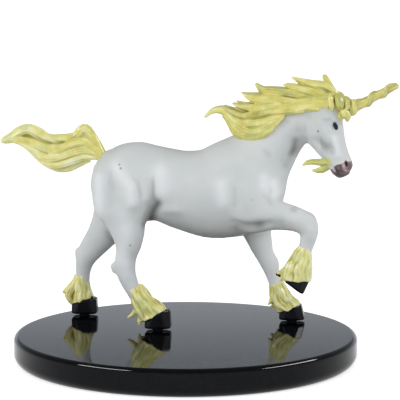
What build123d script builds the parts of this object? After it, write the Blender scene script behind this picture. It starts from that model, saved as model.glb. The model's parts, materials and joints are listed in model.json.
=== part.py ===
from build123d import *
import os

os.makedirs("parts", exist_ok=True)

# A painted unicorn figurine prancing on a round display base. Millimetres, +Z up,
# origin at the centre of the base's underside, the unicorn facing +X.

# Base disc, with a small round along its top edge and a larger one along its foot
BASE_DIAMETER = 50.0
BASE_HEIGHT = 4.2
BASE_TOP_ROUND = 0.7
BASE_FOOT_ROUND = 1.7

# Glue joints: every plug, spigot and sleeve has this much room around it
GLUE_GAP = 0.1

# Pegs under the three standing hooves, which hold the soles clear of the base
PEG_DIAMETER = 1.6
SOCKET_FLOOR = 2.0
HOOF_LIFT = 0.3

# Where the figure stands on the base, and which way it looks
SETBACK = 7.0
HEADING = 5.7
POLL_X = 19.0
HEAD_TURN = 10.0

# Hooves: sole length and width, wall heights at toe and heel, and how far the top leans back
HOOF_LENGTH = 3.6
HOOF_WIDTH = 3.4
HOOF_TOE = 2.5
HOOF_HEEL = 1.3
HOOF_RAKE = 0.6
HOOF_TOP_TAPER = 0.15
RAISED_PITCH = 39.0

# Horn: twisted, tapering, on a round spigot in the forehead
HORN_LENGTH = 9.3
HORN_DIAMETER = 2.0
HORN_TIP_DIAMETER = 1.1
HORN_FLATNESS = 0.78
HORN_TURNS = 2.5
HORN_RINGS_PER_TURN = 10
HORN_RISE = 28.0
HORN_SPIGOT_DIAMETER = 0.9
HORN_SPIGOT_LENGTH = 1.3
HORN_X = 3.35
HORN_Z = 31.6

# The figure's own frame stands on the base top. Head rings are measured from the poll.
FIGURE = Plane((0, SETBACK, BASE_HEIGHT)).rotated((0, 0, -HEADING))
HEAD_FRAME = Plane(FIGURE.from_local_coords((POLL_X, 0, 0))).rotated((0, 0, -HEADING - HEAD_TURN))

# Rings: x, y, z of the centre, half width across the figure, half depth along it
BARREL = [
    (-13.3, 0.0, 22.3, 2.2, 2.0),
    (-12.3, 0.0, 22.2, 3.8, 3.7),
    (-10.0, 0.0, 21.6, 4.9, 5.2),
    (-7.0, 0.0, 21.2, 5.2, 5.9),
    (-3.5, 0.0, 20.8, 5.2, 5.55),
    (0.0, 0.0, 19.95, 5.5, 6.0),
    (4.0, 0.0, 19.65, 5.5, 6.75),
    (8.0, 0.0, 20.5, 5.1, 7.0),
    (11.0, 0.0, 20.0, 4.5, 5.4),
    (13.1, 0.0, 19.6, 3.1, 3.1),
    (13.8, 0.0, 19.5, 1.4, 1.3),
]
NECK = [
    (8.0, 0.0, 21.8, 4.2, 6.0),
    (10.9, 0.0, 25.0, 3.4, 5.0),
    (13.7, 0.0, 28.4, 2.6, 3.95),
    (16.4, 0.0, 31.0, 2.2, 3.3),
    (18.7, 0.0, 32.6, 1.9, 2.6),
]
HEAD = [
    (0.75, 0.0, 33.9, 1.4, 1.5),
    (1.0, 0.0, 33.0, 1.95, 2.1),
    (1.6, 0.0, 31.2, 2.35, 2.6),
    (1.75, 0.0, 29.2, 2.3, 2.7),
    (2.5, 0.0, 26.8, 1.75, 2.3),
    (3.35, 0.0, 24.9, 1.45, 1.9),
    (3.9, 0.0, 23.6, 1.5, 1.8),
    (4.15, 0.0, 22.7, 1.0, 1.1),
]
RIGHT_EAR = [
    (1.1, -1.2, 32.0, 0.5, 0.7),
    (0.3, -1.9, 33.0, 0.45, 0.65),
    (-0.5, -2.2, 33.9, 0.15, 0.15),
]
LEFT_EAR = [
    (1.2, 1.2, 33.0, 0.5, 0.8),
    (1.6, 1.4, 35.2, 0.5, 0.8),
    (0.8, 1.5, 37.3, 0.15, 0.2),
]
RIGHT_SHOULDER = [
    (9.9, -2.7, 22.5, 1.2, 1.6),
    (9.7, -3.1, 20.0, 2.1, 3.0),
    (9.9, -3.1, 17.2, 2.1, 2.9),
    (10.2, -2.9, 15.2, 1.5, 1.8),
]
RIGHT_FORELEG = [
    (9.2, -3.0, 17.2, 1.7, 2.1),
    (11.4, -3.1, 17.1, 1.85, 2.3),
    (13.5, -3.0, 16.95, 1.75, 2.1),
    (15.5, -3.0, 16.6, 1.55, 1.75),
    (17.2, -2.9, 16.0, 1.4, 1.6),
    (18.2, -2.9, 14.9, 1.35, 1.55),
    (18.25, -2.9, 13.6, 1.05, 1.2),
    (17.8, -2.9, 12.2, 0.9, 0.95),
    (17.3, -2.9, 10.3, 0.9, 0.95),
    (16.95, -2.9, 8.9, 0.9, 0.95),
    (16.75, -2.9, 7.2, 0.8, 0.8),
]
LEFT_FORELEG = [
    (9.5, 2.9, 22.5, 1.3, 1.8),
    (9.3, 3.1, 19.5, 2.1, 3.0),
    (9.8, 3.1, 16.0, 2.0, 2.9),
    (10.6, 3.1, 13.3, 1.8, 2.2),
    (11.2, 3.2, 11.5, 1.55, 1.75),
    (11.9, 3.3, 9.8, 1.35, 1.45),
    (12.35, 3.4, 8.4, 1.3, 1.35),
    (12.7, 3.5, 7.0, 1.0, 1.05),
    (13.1, 3.6, 5.5, 0.9, 0.95),
    (13.7, 3.8, 4.0, 0.9, 0.95),
    (14.4, 4.0, 2.8, 0.9, 0.95),
    (15.0, 4.1, 1.6, 0.8, 0.8),
]
RIGHT_HIND_LEG = [
    (-8.7, -1.6, 23.4, 1.5, 2.4),
    (-8.9, -2.4, 21.6, 2.1, 3.6),
    (-8.95, -3.3, 18.8, 2.5, 4.5),
    (-8.7, -3.5, 15.8, 2.1, 3.5),
    (-8.2, -3.8, 13.3, 1.7, 2.15),
    (-8.45, -4.0, 11.0, 1.35, 1.6),
    (-8.8, -4.1, 8.9, 1.2, 1.7),
    (-8.3, -4.2, 7.5, 1.05, 1.3),
    (-7.6, -4.3, 6.1, 0.95, 1.15),
    (-6.5, -4.4, 4.4, 0.95, 1.0),
    (-5.5, -4.4, 3.0, 0.9, 0.95),
    (-4.6, -4.4, 1.7, 0.8, 0.8),
]
LEFT_HIND_LEG = [
    (-9.2, 1.6, 23.4, 1.5, 2.4),
    (-9.6, 2.4, 21.6, 2.1, 3.6),
    (-9.9, 3.4, 18.5, 2.4, 4.0),
    (-10.8, 3.8, 15.6, 2.1, 3.1),
    (-12.8, 4.3, 12.5, 1.6, 1.9),
    (-14.55, 4.8, 10.5, 1.3, 1.55),
    (-15.6, 5.0, 8.6, 1.1, 1.2),
    (-15.95, 5.3, 6.8, 0.95, 1.05),
    (-16.05, 5.5, 5.0, 0.95, 1.0),
    (-16.05, 5.7, 3.4, 0.9, 0.95),
    (-15.95, 5.8, 1.6, 0.8, 0.8),
]
MANE = [
    [(21.0, 0.0, 34.3, 1.3, 1.3), (18.6, 0.0, 35.6, 1.2, 1.2), (15.2, 0.0, 36.9, 0.15, 0.15)],
    [(20.2, -0.6, 33.6, 1.5, 1.5), (17.3, -0.8, 34.6, 1.4, 1.3), (14.1, -0.6, 35.85, 0.15, 0.15)],
    [(19.2, -0.9, 33.0, 1.6, 1.5), (14.8, -1.0, 34.2, 1.6, 1.4), (10.1, -0.6, 35.7, 0.15, 0.15)],
    [(18.0, -1.1, 32.3, 1.7, 1.5), (13.3, -1.4, 33.2, 1.7, 1.5), (8.3, -0.8, 34.2, 0.15, 0.15)],
    [(16.8, -1.2, 31.6, 1.7, 1.5), (11.8, -1.6, 32.0, 1.8, 1.5), (6.9, -1.0, 33.2, 0.15, 0.15)],
    [
        (15.0, -1.2, 31.0, 1.6, 1.6),
        (10.5, -1.8, 30.4, 1.7, 1.6),
        (6.4, -1.2, 31.6, 1.1, 0.9),
        (3.1, -0.8, 30.95, 0.15, 0.15),
    ],
    [
        (13.4, -1.2, 30.2, 1.6, 1.6),
        (10.0, -2.0, 29.2, 1.5, 1.5),
        (7.5, -1.6, 29.7, 1.1, 1.1),
        (5.6, -1.0, 31.3, 0.2, 0.2),
    ],
]
FORELOCK = [
    [
        (1.6, 0.0, 34.5, 1.0, 0.9),
        (3.6, 0.0, 33.5, 1.2, 0.9),
        (4.6, 0.0, 32.2, 1.0, 0.7),
        (4.8, 0.0, 30.7, 0.2, 0.2),
    ],
    [(1.4, -1.0, 34.2, 0.9, 0.8), (2.9, -1.7, 33.2, 0.9, 0.7), (3.6, -2.0, 31.8, 0.2, 0.2)],
]
TAIL = [
    [
        (-11.7, 0.0, 23.6, 0.9, 0.9),
        (-12.7, 0.0, 25.3, 1.0, 1.0),
        (-13.8, 0.0, 27.0, 1.2, 1.3),
        (-15.1, 0.0, 28.0, 1.3, 1.6),
        (-16.8, 0.0, 27.4, 1.3, 1.4),
        (-18.6, 0.0, 26.9, 1.3, 1.35),
        (-20.4, 0.0, 27.3, 1.2, 1.3),
        (-22.4, 0.0, 28.3, 1.1, 1.3),
        (-24.4, 0.0, 28.2, 0.8, 1.1),
        (-26.7, 0.0, 27.3, 0.15, 0.25),
    ],
    [
        (-13.6, 0.0, 26.2, 1.0, 1.2),
        (-15.4, 0.0, 25.4, 1.3, 1.7),
        (-17.4, 0.0, 24.4, 1.3, 1.75),
        (-19.4, 0.0, 24.3, 1.2, 1.65),
        (-21.2, 0.0, 25.4, 1.1, 1.4),
        (-23.2, 0.0, 27.0, 0.8, 1.0),
        (-25.4, 0.0, 27.3, 0.15, 0.3),
    ],
]
BEARD = [
    [(2.6, 0.0, 25.0, 0.6, 0.7), (0.9, 0.0, 24.8, 0.6, 0.6), (-1.8, 0.0, 24.2, 0.12, 0.12)],
    [(2.4, 0.0, 24.6, 0.6, 0.7), (0.8, 0.0, 23.8, 0.6, 0.6), (-0.6, 0.0, 23.3, 0.12, 0.12)],
]
RIGHT_FORE_FEATHER = [
    [
        (17.3, -2.9, 11.5, 1.15, 1.25),
        (17.1, -2.9, 10.3, 1.4, 1.5),
        (16.9, -2.9, 9.0, 1.65, 1.7),
        (16.75, -2.9, 7.7, 1.6, 1.7),
    ],
    [(16.3, -2.9, 10.2, 1.1, 1.1), (15.2, -2.9, 9.1, 0.8, 0.8), (13.6, -2.9, 8.5, 0.2, 0.2)],
]
LEFT_FORE_FEATHER = [
    [
        (13.0, 3.55, 6.0, 1.2, 1.25),
        (13.5, 3.7, 4.8, 1.5, 1.6),
        (14.2, 3.9, 3.5, 1.8, 1.9),
        (14.9, 4.1, 2.4, 1.8, 1.9),
    ],
    [(13.4, 3.9, 4.0, 1.1, 1.1), (12.6, 3.9, 2.9, 0.8, 0.8), (12.0, 3.9, 2.0, 0.2, 0.2)],
]
RIGHT_HIND_FEATHER = [
    [
        (-7.55, -4.3, 5.85, 1.25, 1.4),
        (-6.5, -4.4, 4.6, 1.6, 1.8),
        (-5.5, -4.4, 3.5, 1.8, 2.0),
        (-4.75, -4.4, 2.6, 1.8, 2.0),
    ],
    [(-6.2, -4.4, 3.6, 1.2, 1.1), (-7.2, -4.4, 2.5, 0.9, 0.8), (-8.5, -4.4, 1.45, 0.2, 0.2)],
]
LEFT_HIND_FEATHER = [
    [
        (-16.0, 5.35, 6.3, 1.25, 1.35),
        (-16.1, 5.5, 5.0, 1.5, 1.5),
        (-16.15, 5.7, 3.6, 1.7, 1.7),
        (-16.0, 5.8, 2.4, 1.75, 1.8),
    ],
    [(-16.5, 5.6, 4.6, 1.0, 1.0), (-17.6, 5.6, 3.9, 0.7, 0.7), (-18.7, 5.6, 3.7, 0.2, 0.2)],
]

# Sole centres of the hooves: x, y and z in the figure's frame
LEFT_FORE_SOLE = (15.6, 4.1, HOOF_LIFT)
RIGHT_HIND_SOLE = (-3.95, -4.4, HOOF_LIFT)
LEFT_HIND_SOLE = (-15.6, 5.8, HOOF_LIFT)
RIGHT_FORE_SOLE = (15.75, -2.9, 6.6)


def oval(half_width, half_depth):
    """An ellipse whose outline starts on the same side whichever of its axes is longer."""
    with BuildLine() as outline:
        EllipticalCenterArc((0, 0), half_width, half_depth, 0, arc_size=180)
        EllipticalCenterArc((0, 0), half_width, half_depth, 180, arc_size=180)
    make_face(outline.edges())


def limb(rings, frame=FIGURE, grow=0.0, mode=Mode.ADD):
    """A smooth solid through elliptical rings set square to the line of their centres."""
    centres = [Vector(*ring[:3]) for ring in rings]
    last = len(rings) - 1
    sections = []
    for place, ring in enumerate(rings):
        along = (centres[min(place + 1, last)] - centres[max(place - 1, 0)]).normalized()
        end = (place == last) - (place == 0)
        centre = frame.from_local_coords(centres[place] + along * grow * end)
        heading = frame.from_local_coords(centres[place] + along * (grow * end + 1)) - centre
        with BuildSketch(Plane(centre, x_dir=frame.y_dir, z_dir=heading)) as section:
            oval(ring[3] + grow, ring[4] + grow)
        sections.append(section.sketch)
    loft(sections, mode=mode)


def locks(strands, frame=FIGURE, grow=0.0, mode=Mode.ADD):
    """Tapered locks of moulded hair that run into one another."""
    for rings in strands:
        limb(rings, frame, grow, mode)


def head_form(grow=0.0, mode=Mode.ADD):
    """The head with its two ears."""
    for rings in (HEAD, RIGHT_EAR, LEFT_EAR):
        limb(rings, HEAD_FRAME, grow, mode)


def sole_plane(sole, pitch=0.0):
    """The plane of a hoof's sole, toe towards +X, tipped toe down by the pitch."""
    toe = Vector(1, 0, 0).rotate(Axis.Y, pitch)
    up = Vector(0, 0, 1).rotate(Axis.Y, pitch)
    origin = FIGURE.from_local_coords(sole)
    return Plane(
        origin,
        x_dir=FIGURE.from_local_coords(Vector(*sole) + toe) - origin,
        z_dir=FIGURE.from_local_coords(Vector(*sole) + up) - origin,
    )


def hoof_form(plane, grow=0.0, mode=Mode.ADD):
    """The hoof's wall, from the flat sole to a top that slopes from toe to heel."""
    rise = Vector(HOOF_LENGTH, 0, HOOF_TOE - HOOF_HEEL)
    middle = Vector(-HOOF_RAKE, 0, (HOOF_TOE + HOOF_HEEL) / 2)
    up = Vector(-rise.Z, 0, rise.X).normalized()
    origin = plane.from_local_coords(middle + up * grow)
    x_dir = plane.from_local_coords(middle + up * grow + rise) - origin
    z_dir = plane.from_local_coords(middle + up * (grow + 1)) - origin
    with BuildSketch(plane.offset(-grow)) as bottom:
        Ellipse(HOOF_LENGTH / 2 + grow, HOOF_WIDTH / 2 + grow)
    with BuildSketch(Plane(origin, x_dir=x_dir, z_dir=z_dir)) as top:
        Ellipse(rise.length / 2 - HOOF_TOP_TAPER + grow, HOOF_WIDTH / 2 - HOOF_TOP_TAPER + grow)
    loft([bottom.sketch, top.sketch], mode=mode)


def peg(plane):
    """The peg under a standing hoof, down to the floor of its socket."""
    with BuildSketch(plane) as section:
        Circle(PEG_DIAMETER / 2)
    extrude(section.sketch, amount=-(HOOF_LIFT + BASE_HEIGHT - SOCKET_FLOOR - GLUE_GAP))


def horn_plane(distance):
    """The plane across the horn at a distance from the skin of the forehead."""
    along = Vector(1, 0, 0).rotate(Axis.Y, -HORN_RISE)
    foot = Vector(HORN_X, 0, HORN_Z)
    origin = HEAD_FRAME.from_local_coords(foot + along * distance)
    return Plane(
        origin,
        x_dir=HEAD_FRAME.y_dir,
        z_dir=HEAD_FRAME.from_local_coords(foot + along * (distance + 1)) - origin,
    )


def horn_spigot(grow=0.0, mode=Mode.ADD):
    """The round spigot, from inside the horn down to its end in the forehead."""
    with BuildSketch(horn_plane(HORN_DIAMETER)) as section:
        Circle(HORN_SPIGOT_DIAMETER / 2 + grow)
    extrude(section.sketch, amount=-(HORN_DIAMETER + HORN_SPIGOT_LENGTH + grow), mode=mode)


def horn_form(grow=0.0, mode=Mode.ADD):
    """The horn's twisted cone."""
    rings = round(HORN_TURNS * HORN_RINGS_PER_TURN)
    sections = []
    for ring in range(rings + 1):
        share = ring / rings
        radius = (HORN_DIAMETER + (HORN_TIP_DIAMETER - HORN_DIAMETER) * share) / 2
        with BuildSketch(horn_plane(HORN_LENGTH * share)) as section:
            Ellipse(radius + grow, radius * HORN_FLATNESS + grow, rotation=360 * HORN_TURNS * share)
        sections.append(section.sketch)
    loft(sections, mode=mode)


STANDING = {
    "left_fore": sole_plane(LEFT_FORE_SOLE),
    "right_hind": sole_plane(RIGHT_HIND_SOLE),
    "left_hind": sole_plane(LEFT_HIND_SOLE),
}
RAISED = sole_plane(RIGHT_FORE_SOLE, RAISED_PITCH)

# Base disc with three blind sockets for the hoof pegs
with BuildPart() as base:
    with BuildSketch():
        Circle(BASE_DIAMETER / 2)
    extrude(amount=BASE_HEIGHT)
    fillet(base.edges().group_by(Axis.Z)[-1], BASE_TOP_ROUND)
    fillet(base.edges().group_by(Axis.Z)[0], BASE_FOOT_ROUND)
    for plane in STANDING.values():
        with BuildSketch(plane.offset(-HOOF_LIFT)):
            Circle(PEG_DIAMETER / 2 + GLUE_GAP)
        extrude(amount=SOCKET_FLOOR - BASE_HEIGHT, mode=Mode.SUBTRACT)
base.part.label = "base"
export_step(base.part, "parts/base.step")

# Torso and neck, with pockets for the legs' plugs, the head and the tail's root
with BuildPart() as torso:
    limb(BARREL)
    limb(NECK)
    for rings in (RIGHT_SHOULDER, RIGHT_FORELEG, LEFT_FORELEG, RIGHT_HIND_LEG, LEFT_HIND_LEG):
        limb(rings, grow=GLUE_GAP, mode=Mode.SUBTRACT)
    head_form(GLUE_GAP, Mode.SUBTRACT)
    limb(TAIL[0], grow=GLUE_GAP, mode=Mode.SUBTRACT)
torso.part.label = "torso"
export_step(torso.part, "parts/torso.step")

# Head and ears, with sockets for the horn's spigot and the beard's root
with BuildPart() as head:
    head_form()
    horn_spigot(GLUE_GAP, Mode.SUBTRACT)
    locks(BEARD, HEAD_FRAME, GLUE_GAP, Mode.SUBTRACT)
head.part.label = "head"
export_step(head.part, "parts/head.step")

# Legs, each with a plug at its top for the torso's pocket and a pastern for its hoof
with BuildPart() as right_foreleg:
    limb(RIGHT_SHOULDER)
    limb(RIGHT_FORELEG)
right_foreleg.part.label = "right_foreleg"
export_step(right_foreleg.part, "parts/right_foreleg.step")

with BuildPart() as left_foreleg:
    limb(LEFT_FORELEG)
left_foreleg.part.label = "left_foreleg"
export_step(left_foreleg.part, "parts/left_foreleg.step")

with BuildPart() as right_hind_leg:
    limb(RIGHT_HIND_LEG)
right_hind_leg.part.label = "right_hind_leg"
export_step(right_hind_leg.part, "parts/right_hind_leg.step")

with BuildPart() as left_hind_leg:
    limb(LEFT_HIND_LEG)
left_hind_leg.part.label = "left_hind_leg"
export_step(left_hind_leg.part, "parts/left_hind_leg.step")

# Hooves, socketed for the pasterns, pegged to the base where they stand
with BuildPart() as right_fore_hoof:
    hoof_form(RAISED)
    limb(RIGHT_FORELEG, grow=GLUE_GAP, mode=Mode.SUBTRACT)
right_fore_hoof.part.label = "right_fore_hoof"
export_step(right_fore_hoof.part, "parts/right_fore_hoof.step")

with BuildPart() as left_fore_hoof:
    hoof_form(STANDING["left_fore"])
    limb(LEFT_FORELEG, grow=GLUE_GAP, mode=Mode.SUBTRACT)
    peg(STANDING["left_fore"])
left_fore_hoof.part.label = "left_fore_hoof"
export_step(left_fore_hoof.part, "parts/left_fore_hoof.step")

with BuildPart() as right_hind_hoof:
    hoof_form(STANDING["right_hind"])
    limb(RIGHT_HIND_LEG, grow=GLUE_GAP, mode=Mode.SUBTRACT)
    peg(STANDING["right_hind"])
right_hind_hoof.part.label = "right_hind_hoof"
export_step(right_hind_hoof.part, "parts/right_hind_hoof.step")

with BuildPart() as left_hind_hoof:
    hoof_form(STANDING["left_hind"])
    limb(LEFT_HIND_LEG, grow=GLUE_GAP, mode=Mode.SUBTRACT)
    peg(STANDING["left_hind"])
left_hind_hoof.part.label = "left_hind_hoof"
export_step(left_hind_hoof.part, "parts/left_hind_hoof.step")

# Feathers: tufted cuffs sleeved on the pasterns, resting on the hooves
with BuildPart() as right_fore_feather:
    locks(RIGHT_FORE_FEATHER)
    limb(RIGHT_FORELEG, grow=GLUE_GAP, mode=Mode.SUBTRACT)
    hoof_form(RAISED, GLUE_GAP, Mode.SUBTRACT)
right_fore_feather.part.label = "right_fore_feather"
export_step(right_fore_feather.part, "parts/right_fore_feather.step")

with BuildPart() as left_fore_feather:
    locks(LEFT_FORE_FEATHER)
    limb(LEFT_FORELEG, grow=GLUE_GAP, mode=Mode.SUBTRACT)
    hoof_form(STANDING["left_fore"], GLUE_GAP, Mode.SUBTRACT)
left_fore_feather.part.label = "left_fore_feather"
export_step(left_fore_feather.part, "parts/left_fore_feather.step")

with BuildPart() as right_hind_feather:
    locks(RIGHT_HIND_FEATHER)
    limb(RIGHT_HIND_LEG, grow=GLUE_GAP, mode=Mode.SUBTRACT)
    hoof_form(STANDING["right_hind"], GLUE_GAP, Mode.SUBTRACT)
right_hind_feather.part.label = "right_hind_feather"
export_step(right_hind_feather.part, "parts/right_hind_feather.step")

with BuildPart() as left_hind_feather:
    locks(LEFT_HIND_FEATHER)
    limb(LEFT_HIND_LEG, grow=GLUE_GAP, mode=Mode.SUBTRACT)
    hoof_form(STANDING["left_hind"], GLUE_GAP, Mode.SUBTRACT)
left_hind_feather.part.label = "left_hind_feather"
export_step(left_hind_feather.part, "parts/left_hind_feather.step")

# Horn
with BuildPart() as horn:
    horn_form()
    limb(HEAD, HEAD_FRAME, GLUE_GAP, Mode.SUBTRACT)
    horn_spigot()
horn.part.label = "horn"
export_step(horn.part, "parts/horn.step")

# Forelock, moulded round the horn's foot
with BuildPart() as forelock:
    locks(FORELOCK, HEAD_FRAME)
    head_form(GLUE_GAP, Mode.SUBTRACT)
    horn_form(GLUE_GAP, Mode.SUBTRACT)
forelock.part.label = "forelock"
export_step(forelock.part, "parts/forelock.step")

# Mane, laid over the crest and the near side of the neck
with BuildPart() as mane:
    locks(MANE)
    limb(NECK, grow=GLUE_GAP, mode=Mode.SUBTRACT)
    limb(BARREL, grow=GLUE_GAP, mode=Mode.SUBTRACT)
    head_form(GLUE_GAP, Mode.SUBTRACT)
    locks(FORELOCK, HEAD_FRAME, GLUE_GAP, Mode.SUBTRACT)
mane.part.label = "mane"
export_step(mane.part, "parts/mane.step")

# Tail, its root in the rump
with BuildPart() as tail:
    locks(TAIL)
tail.part.label = "tail"
export_step(tail.part, "parts/tail.step")

# Chin beard, its root in the jaw
with BuildPart() as beard:
    locks(BEARD, HEAD_FRAME)
beard.part.label = "beard"
export_step(beard.part, "parts/beard.step")
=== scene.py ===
import json
import math

import bpy
import numpy as np
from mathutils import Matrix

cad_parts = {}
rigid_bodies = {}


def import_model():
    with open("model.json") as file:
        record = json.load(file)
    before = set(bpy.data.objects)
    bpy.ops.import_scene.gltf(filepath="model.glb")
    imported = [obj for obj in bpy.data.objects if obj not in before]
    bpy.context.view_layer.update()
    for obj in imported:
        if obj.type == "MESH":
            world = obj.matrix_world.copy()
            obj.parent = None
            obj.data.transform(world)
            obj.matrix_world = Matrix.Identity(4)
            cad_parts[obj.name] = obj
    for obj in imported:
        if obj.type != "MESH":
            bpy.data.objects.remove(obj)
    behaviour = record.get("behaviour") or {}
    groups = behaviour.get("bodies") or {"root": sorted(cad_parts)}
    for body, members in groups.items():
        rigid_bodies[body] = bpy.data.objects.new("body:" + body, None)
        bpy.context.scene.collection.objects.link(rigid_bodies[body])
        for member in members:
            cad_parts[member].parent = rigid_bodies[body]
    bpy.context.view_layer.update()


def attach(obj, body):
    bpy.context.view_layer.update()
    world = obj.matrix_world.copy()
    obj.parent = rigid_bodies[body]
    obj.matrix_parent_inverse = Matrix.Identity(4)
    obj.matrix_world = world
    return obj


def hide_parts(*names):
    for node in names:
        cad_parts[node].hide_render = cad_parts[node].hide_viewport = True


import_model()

import openvdb
from mathutils import Vector

# Frames, in millimetres: the figure stands on the base a little behind its centre and turned
# towards the viewer, and the head is turned a little further
FIGURE_AT = np.array((0.0, 7.0, 4.2))
FIGURE_YAW = math.radians(-5.7)
HEAD_AT = np.array((19.0, 0.0, 0.0))
HEAD_YAW = math.radians(-10.0)
SIDEWAYS = np.array((0.0, 1.0, 0.0))
HEAD_SIDEWAYS = np.array((-math.sin(HEAD_YAW), math.cos(HEAD_YAW), 0.0))
MM = 0.001

# Clay: the grains, the distance that counts as far away, the least half width of a ring, how far the round
# end of a tube stands out in half widths, and over how many grains a hollow is measured
BODY_STEP = 0.14
HAIR_STEP = 0.085
FINE_STEP = 0.06
EYE_STEP = 0.04
FAR = 3.0
THINNEST = 0.04
END_ROUND = 0.45
HOLLOW_REACH = 3


def turned(points, yaw):
    """Points turned about the upright axis."""
    points = np.asarray(points, float)
    out = points.copy()
    out[:, 0] = math.cos(yaw) * points[:, 0] - math.sin(yaw) * points[:, 1]
    out[:, 1] = math.sin(yaw) * points[:, 0] + math.cos(yaw) * points[:, 1]
    return out


def to_world(points):
    """Points of the figure, in millimetres, as places in the row frame, in metres."""
    return (turned(points, FIGURE_YAW) + FIGURE_AT) * MM


def on_head(rings):
    """Rings or points given in the head's frame, in the figure's frame."""
    rings = turned(rings, HEAD_YAW)
    rings[:, :3] += HEAD_AT
    return rings


def ringed(rings):
    """Rings as rows of five values; those given with four are round."""
    return np.array([(*ring, ring[-1])[:5] for ring in rings], float)


def flow(rings, spacing):
    """Close rings on a smooth curve through the given ones."""
    rings = ringed(rings)
    ends = np.vstack((2 * rings[0] - rings[1], rings, 2 * rings[-1] - rings[-2]))
    out = []
    for i in range(1, len(ends) - 2):
        before, start, stop, after = ends[i - 1:i + 3]
        count = max(1, round(np.linalg.norm(stop[:3] - start[:3]) / spacing))
        for t in np.arange(count)[:, None] / count:
            bend = (2 * before - 5 * start + 4 * stop - after) * t
            turn = (3 * start - before - 3 * stop + after) * t * t
            out.append(start + 0.5 * t * (stop - before + bend + turn))
    out = np.vstack(out + [rings[-1:]])
    out[:, 3:] = np.maximum(out[:, 3:], THINNEST)
    return out


def tube(first, last, side, x, y, z):
    """Distance to a tapering tube of oval section between two rings, and the place round and along it."""
    along = last[:3] - first[:3]
    length = np.linalg.norm(along)
    along = along / length
    side = side - along * (side @ along)
    side = side / np.linalg.norm(side)
    deep = np.cross(along, side)
    x, y, z = x - first[0], y - first[1], z - first[2]
    run = x * along[0] + y * along[1] + z * along[2]
    t = np.clip(run / length, 0, 1)
    wide = first[3] + (last[3] - first[3]) * t
    thick = first[4] + (last[4] - first[4]) * t
    u = (x * side[0] + y * side[1] + z * side[2]) / wide
    v = (x * deep[0] + y * deep[1] + z * deep[2]) / thick
    cap = END_ROUND * np.minimum(wide, thick)
    w = (run - t * length) / cap
    out = np.sqrt(u * u + v * v + w * w) + 1e-4
    slope = np.sqrt((u / wide) ** 2 + (v / thick) ** 2 + (w / cap) ** 2) + 1e-4
    return out * (out - 1) / slope, u, v, np.minimum(wide, thick), t * length


def melted(a, b, blend):
    """The nearer of two surfaces, with a rounded hollow between them."""
    h = np.maximum(blend - np.abs(a - b), 0) / blend
    return np.minimum(a, b) - h * h * blend / 4


def blurred(field, reach):
    """The field smoothed over a few grains, by three running means."""
    for axis in range(3):
        field = np.moveaxis(field, axis, 0)
        for _ in range(3):
            padded = np.concatenate((field[:1].repeat(reach, 0), field, field[-1:].repeat(reach, 0)))
            total = np.cumsum(padded, 0, dtype=np.float64)
            total = np.concatenate((np.zeros_like(total[:1]), total))
            width = 2 * reach + 1
            field = ((total[width:] - total[:-width]) / width).astype(np.float32)
        field = np.moveaxis(field, 0, axis)
    return np.ascontiguousarray(field)


def near_line(line, width, *axes):
    """How near places are to a line: 1 on it, fading over the given width."""
    line = np.asarray(line, float)
    near = np.inf
    for first, last in zip(line[:-1], line[1:]):
        along = last - first
        offset = [axis - start for axis, start in zip(axes, first)]
        t = np.clip(sum(o * a for o, a in zip(offset, along)) / (along @ along), 0, 1)
        near = np.minimum(near, sum((o - t * a) ** 2 for o, a in zip(offset, along)))
    return np.exp(-near / (2 * width * width))


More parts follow.
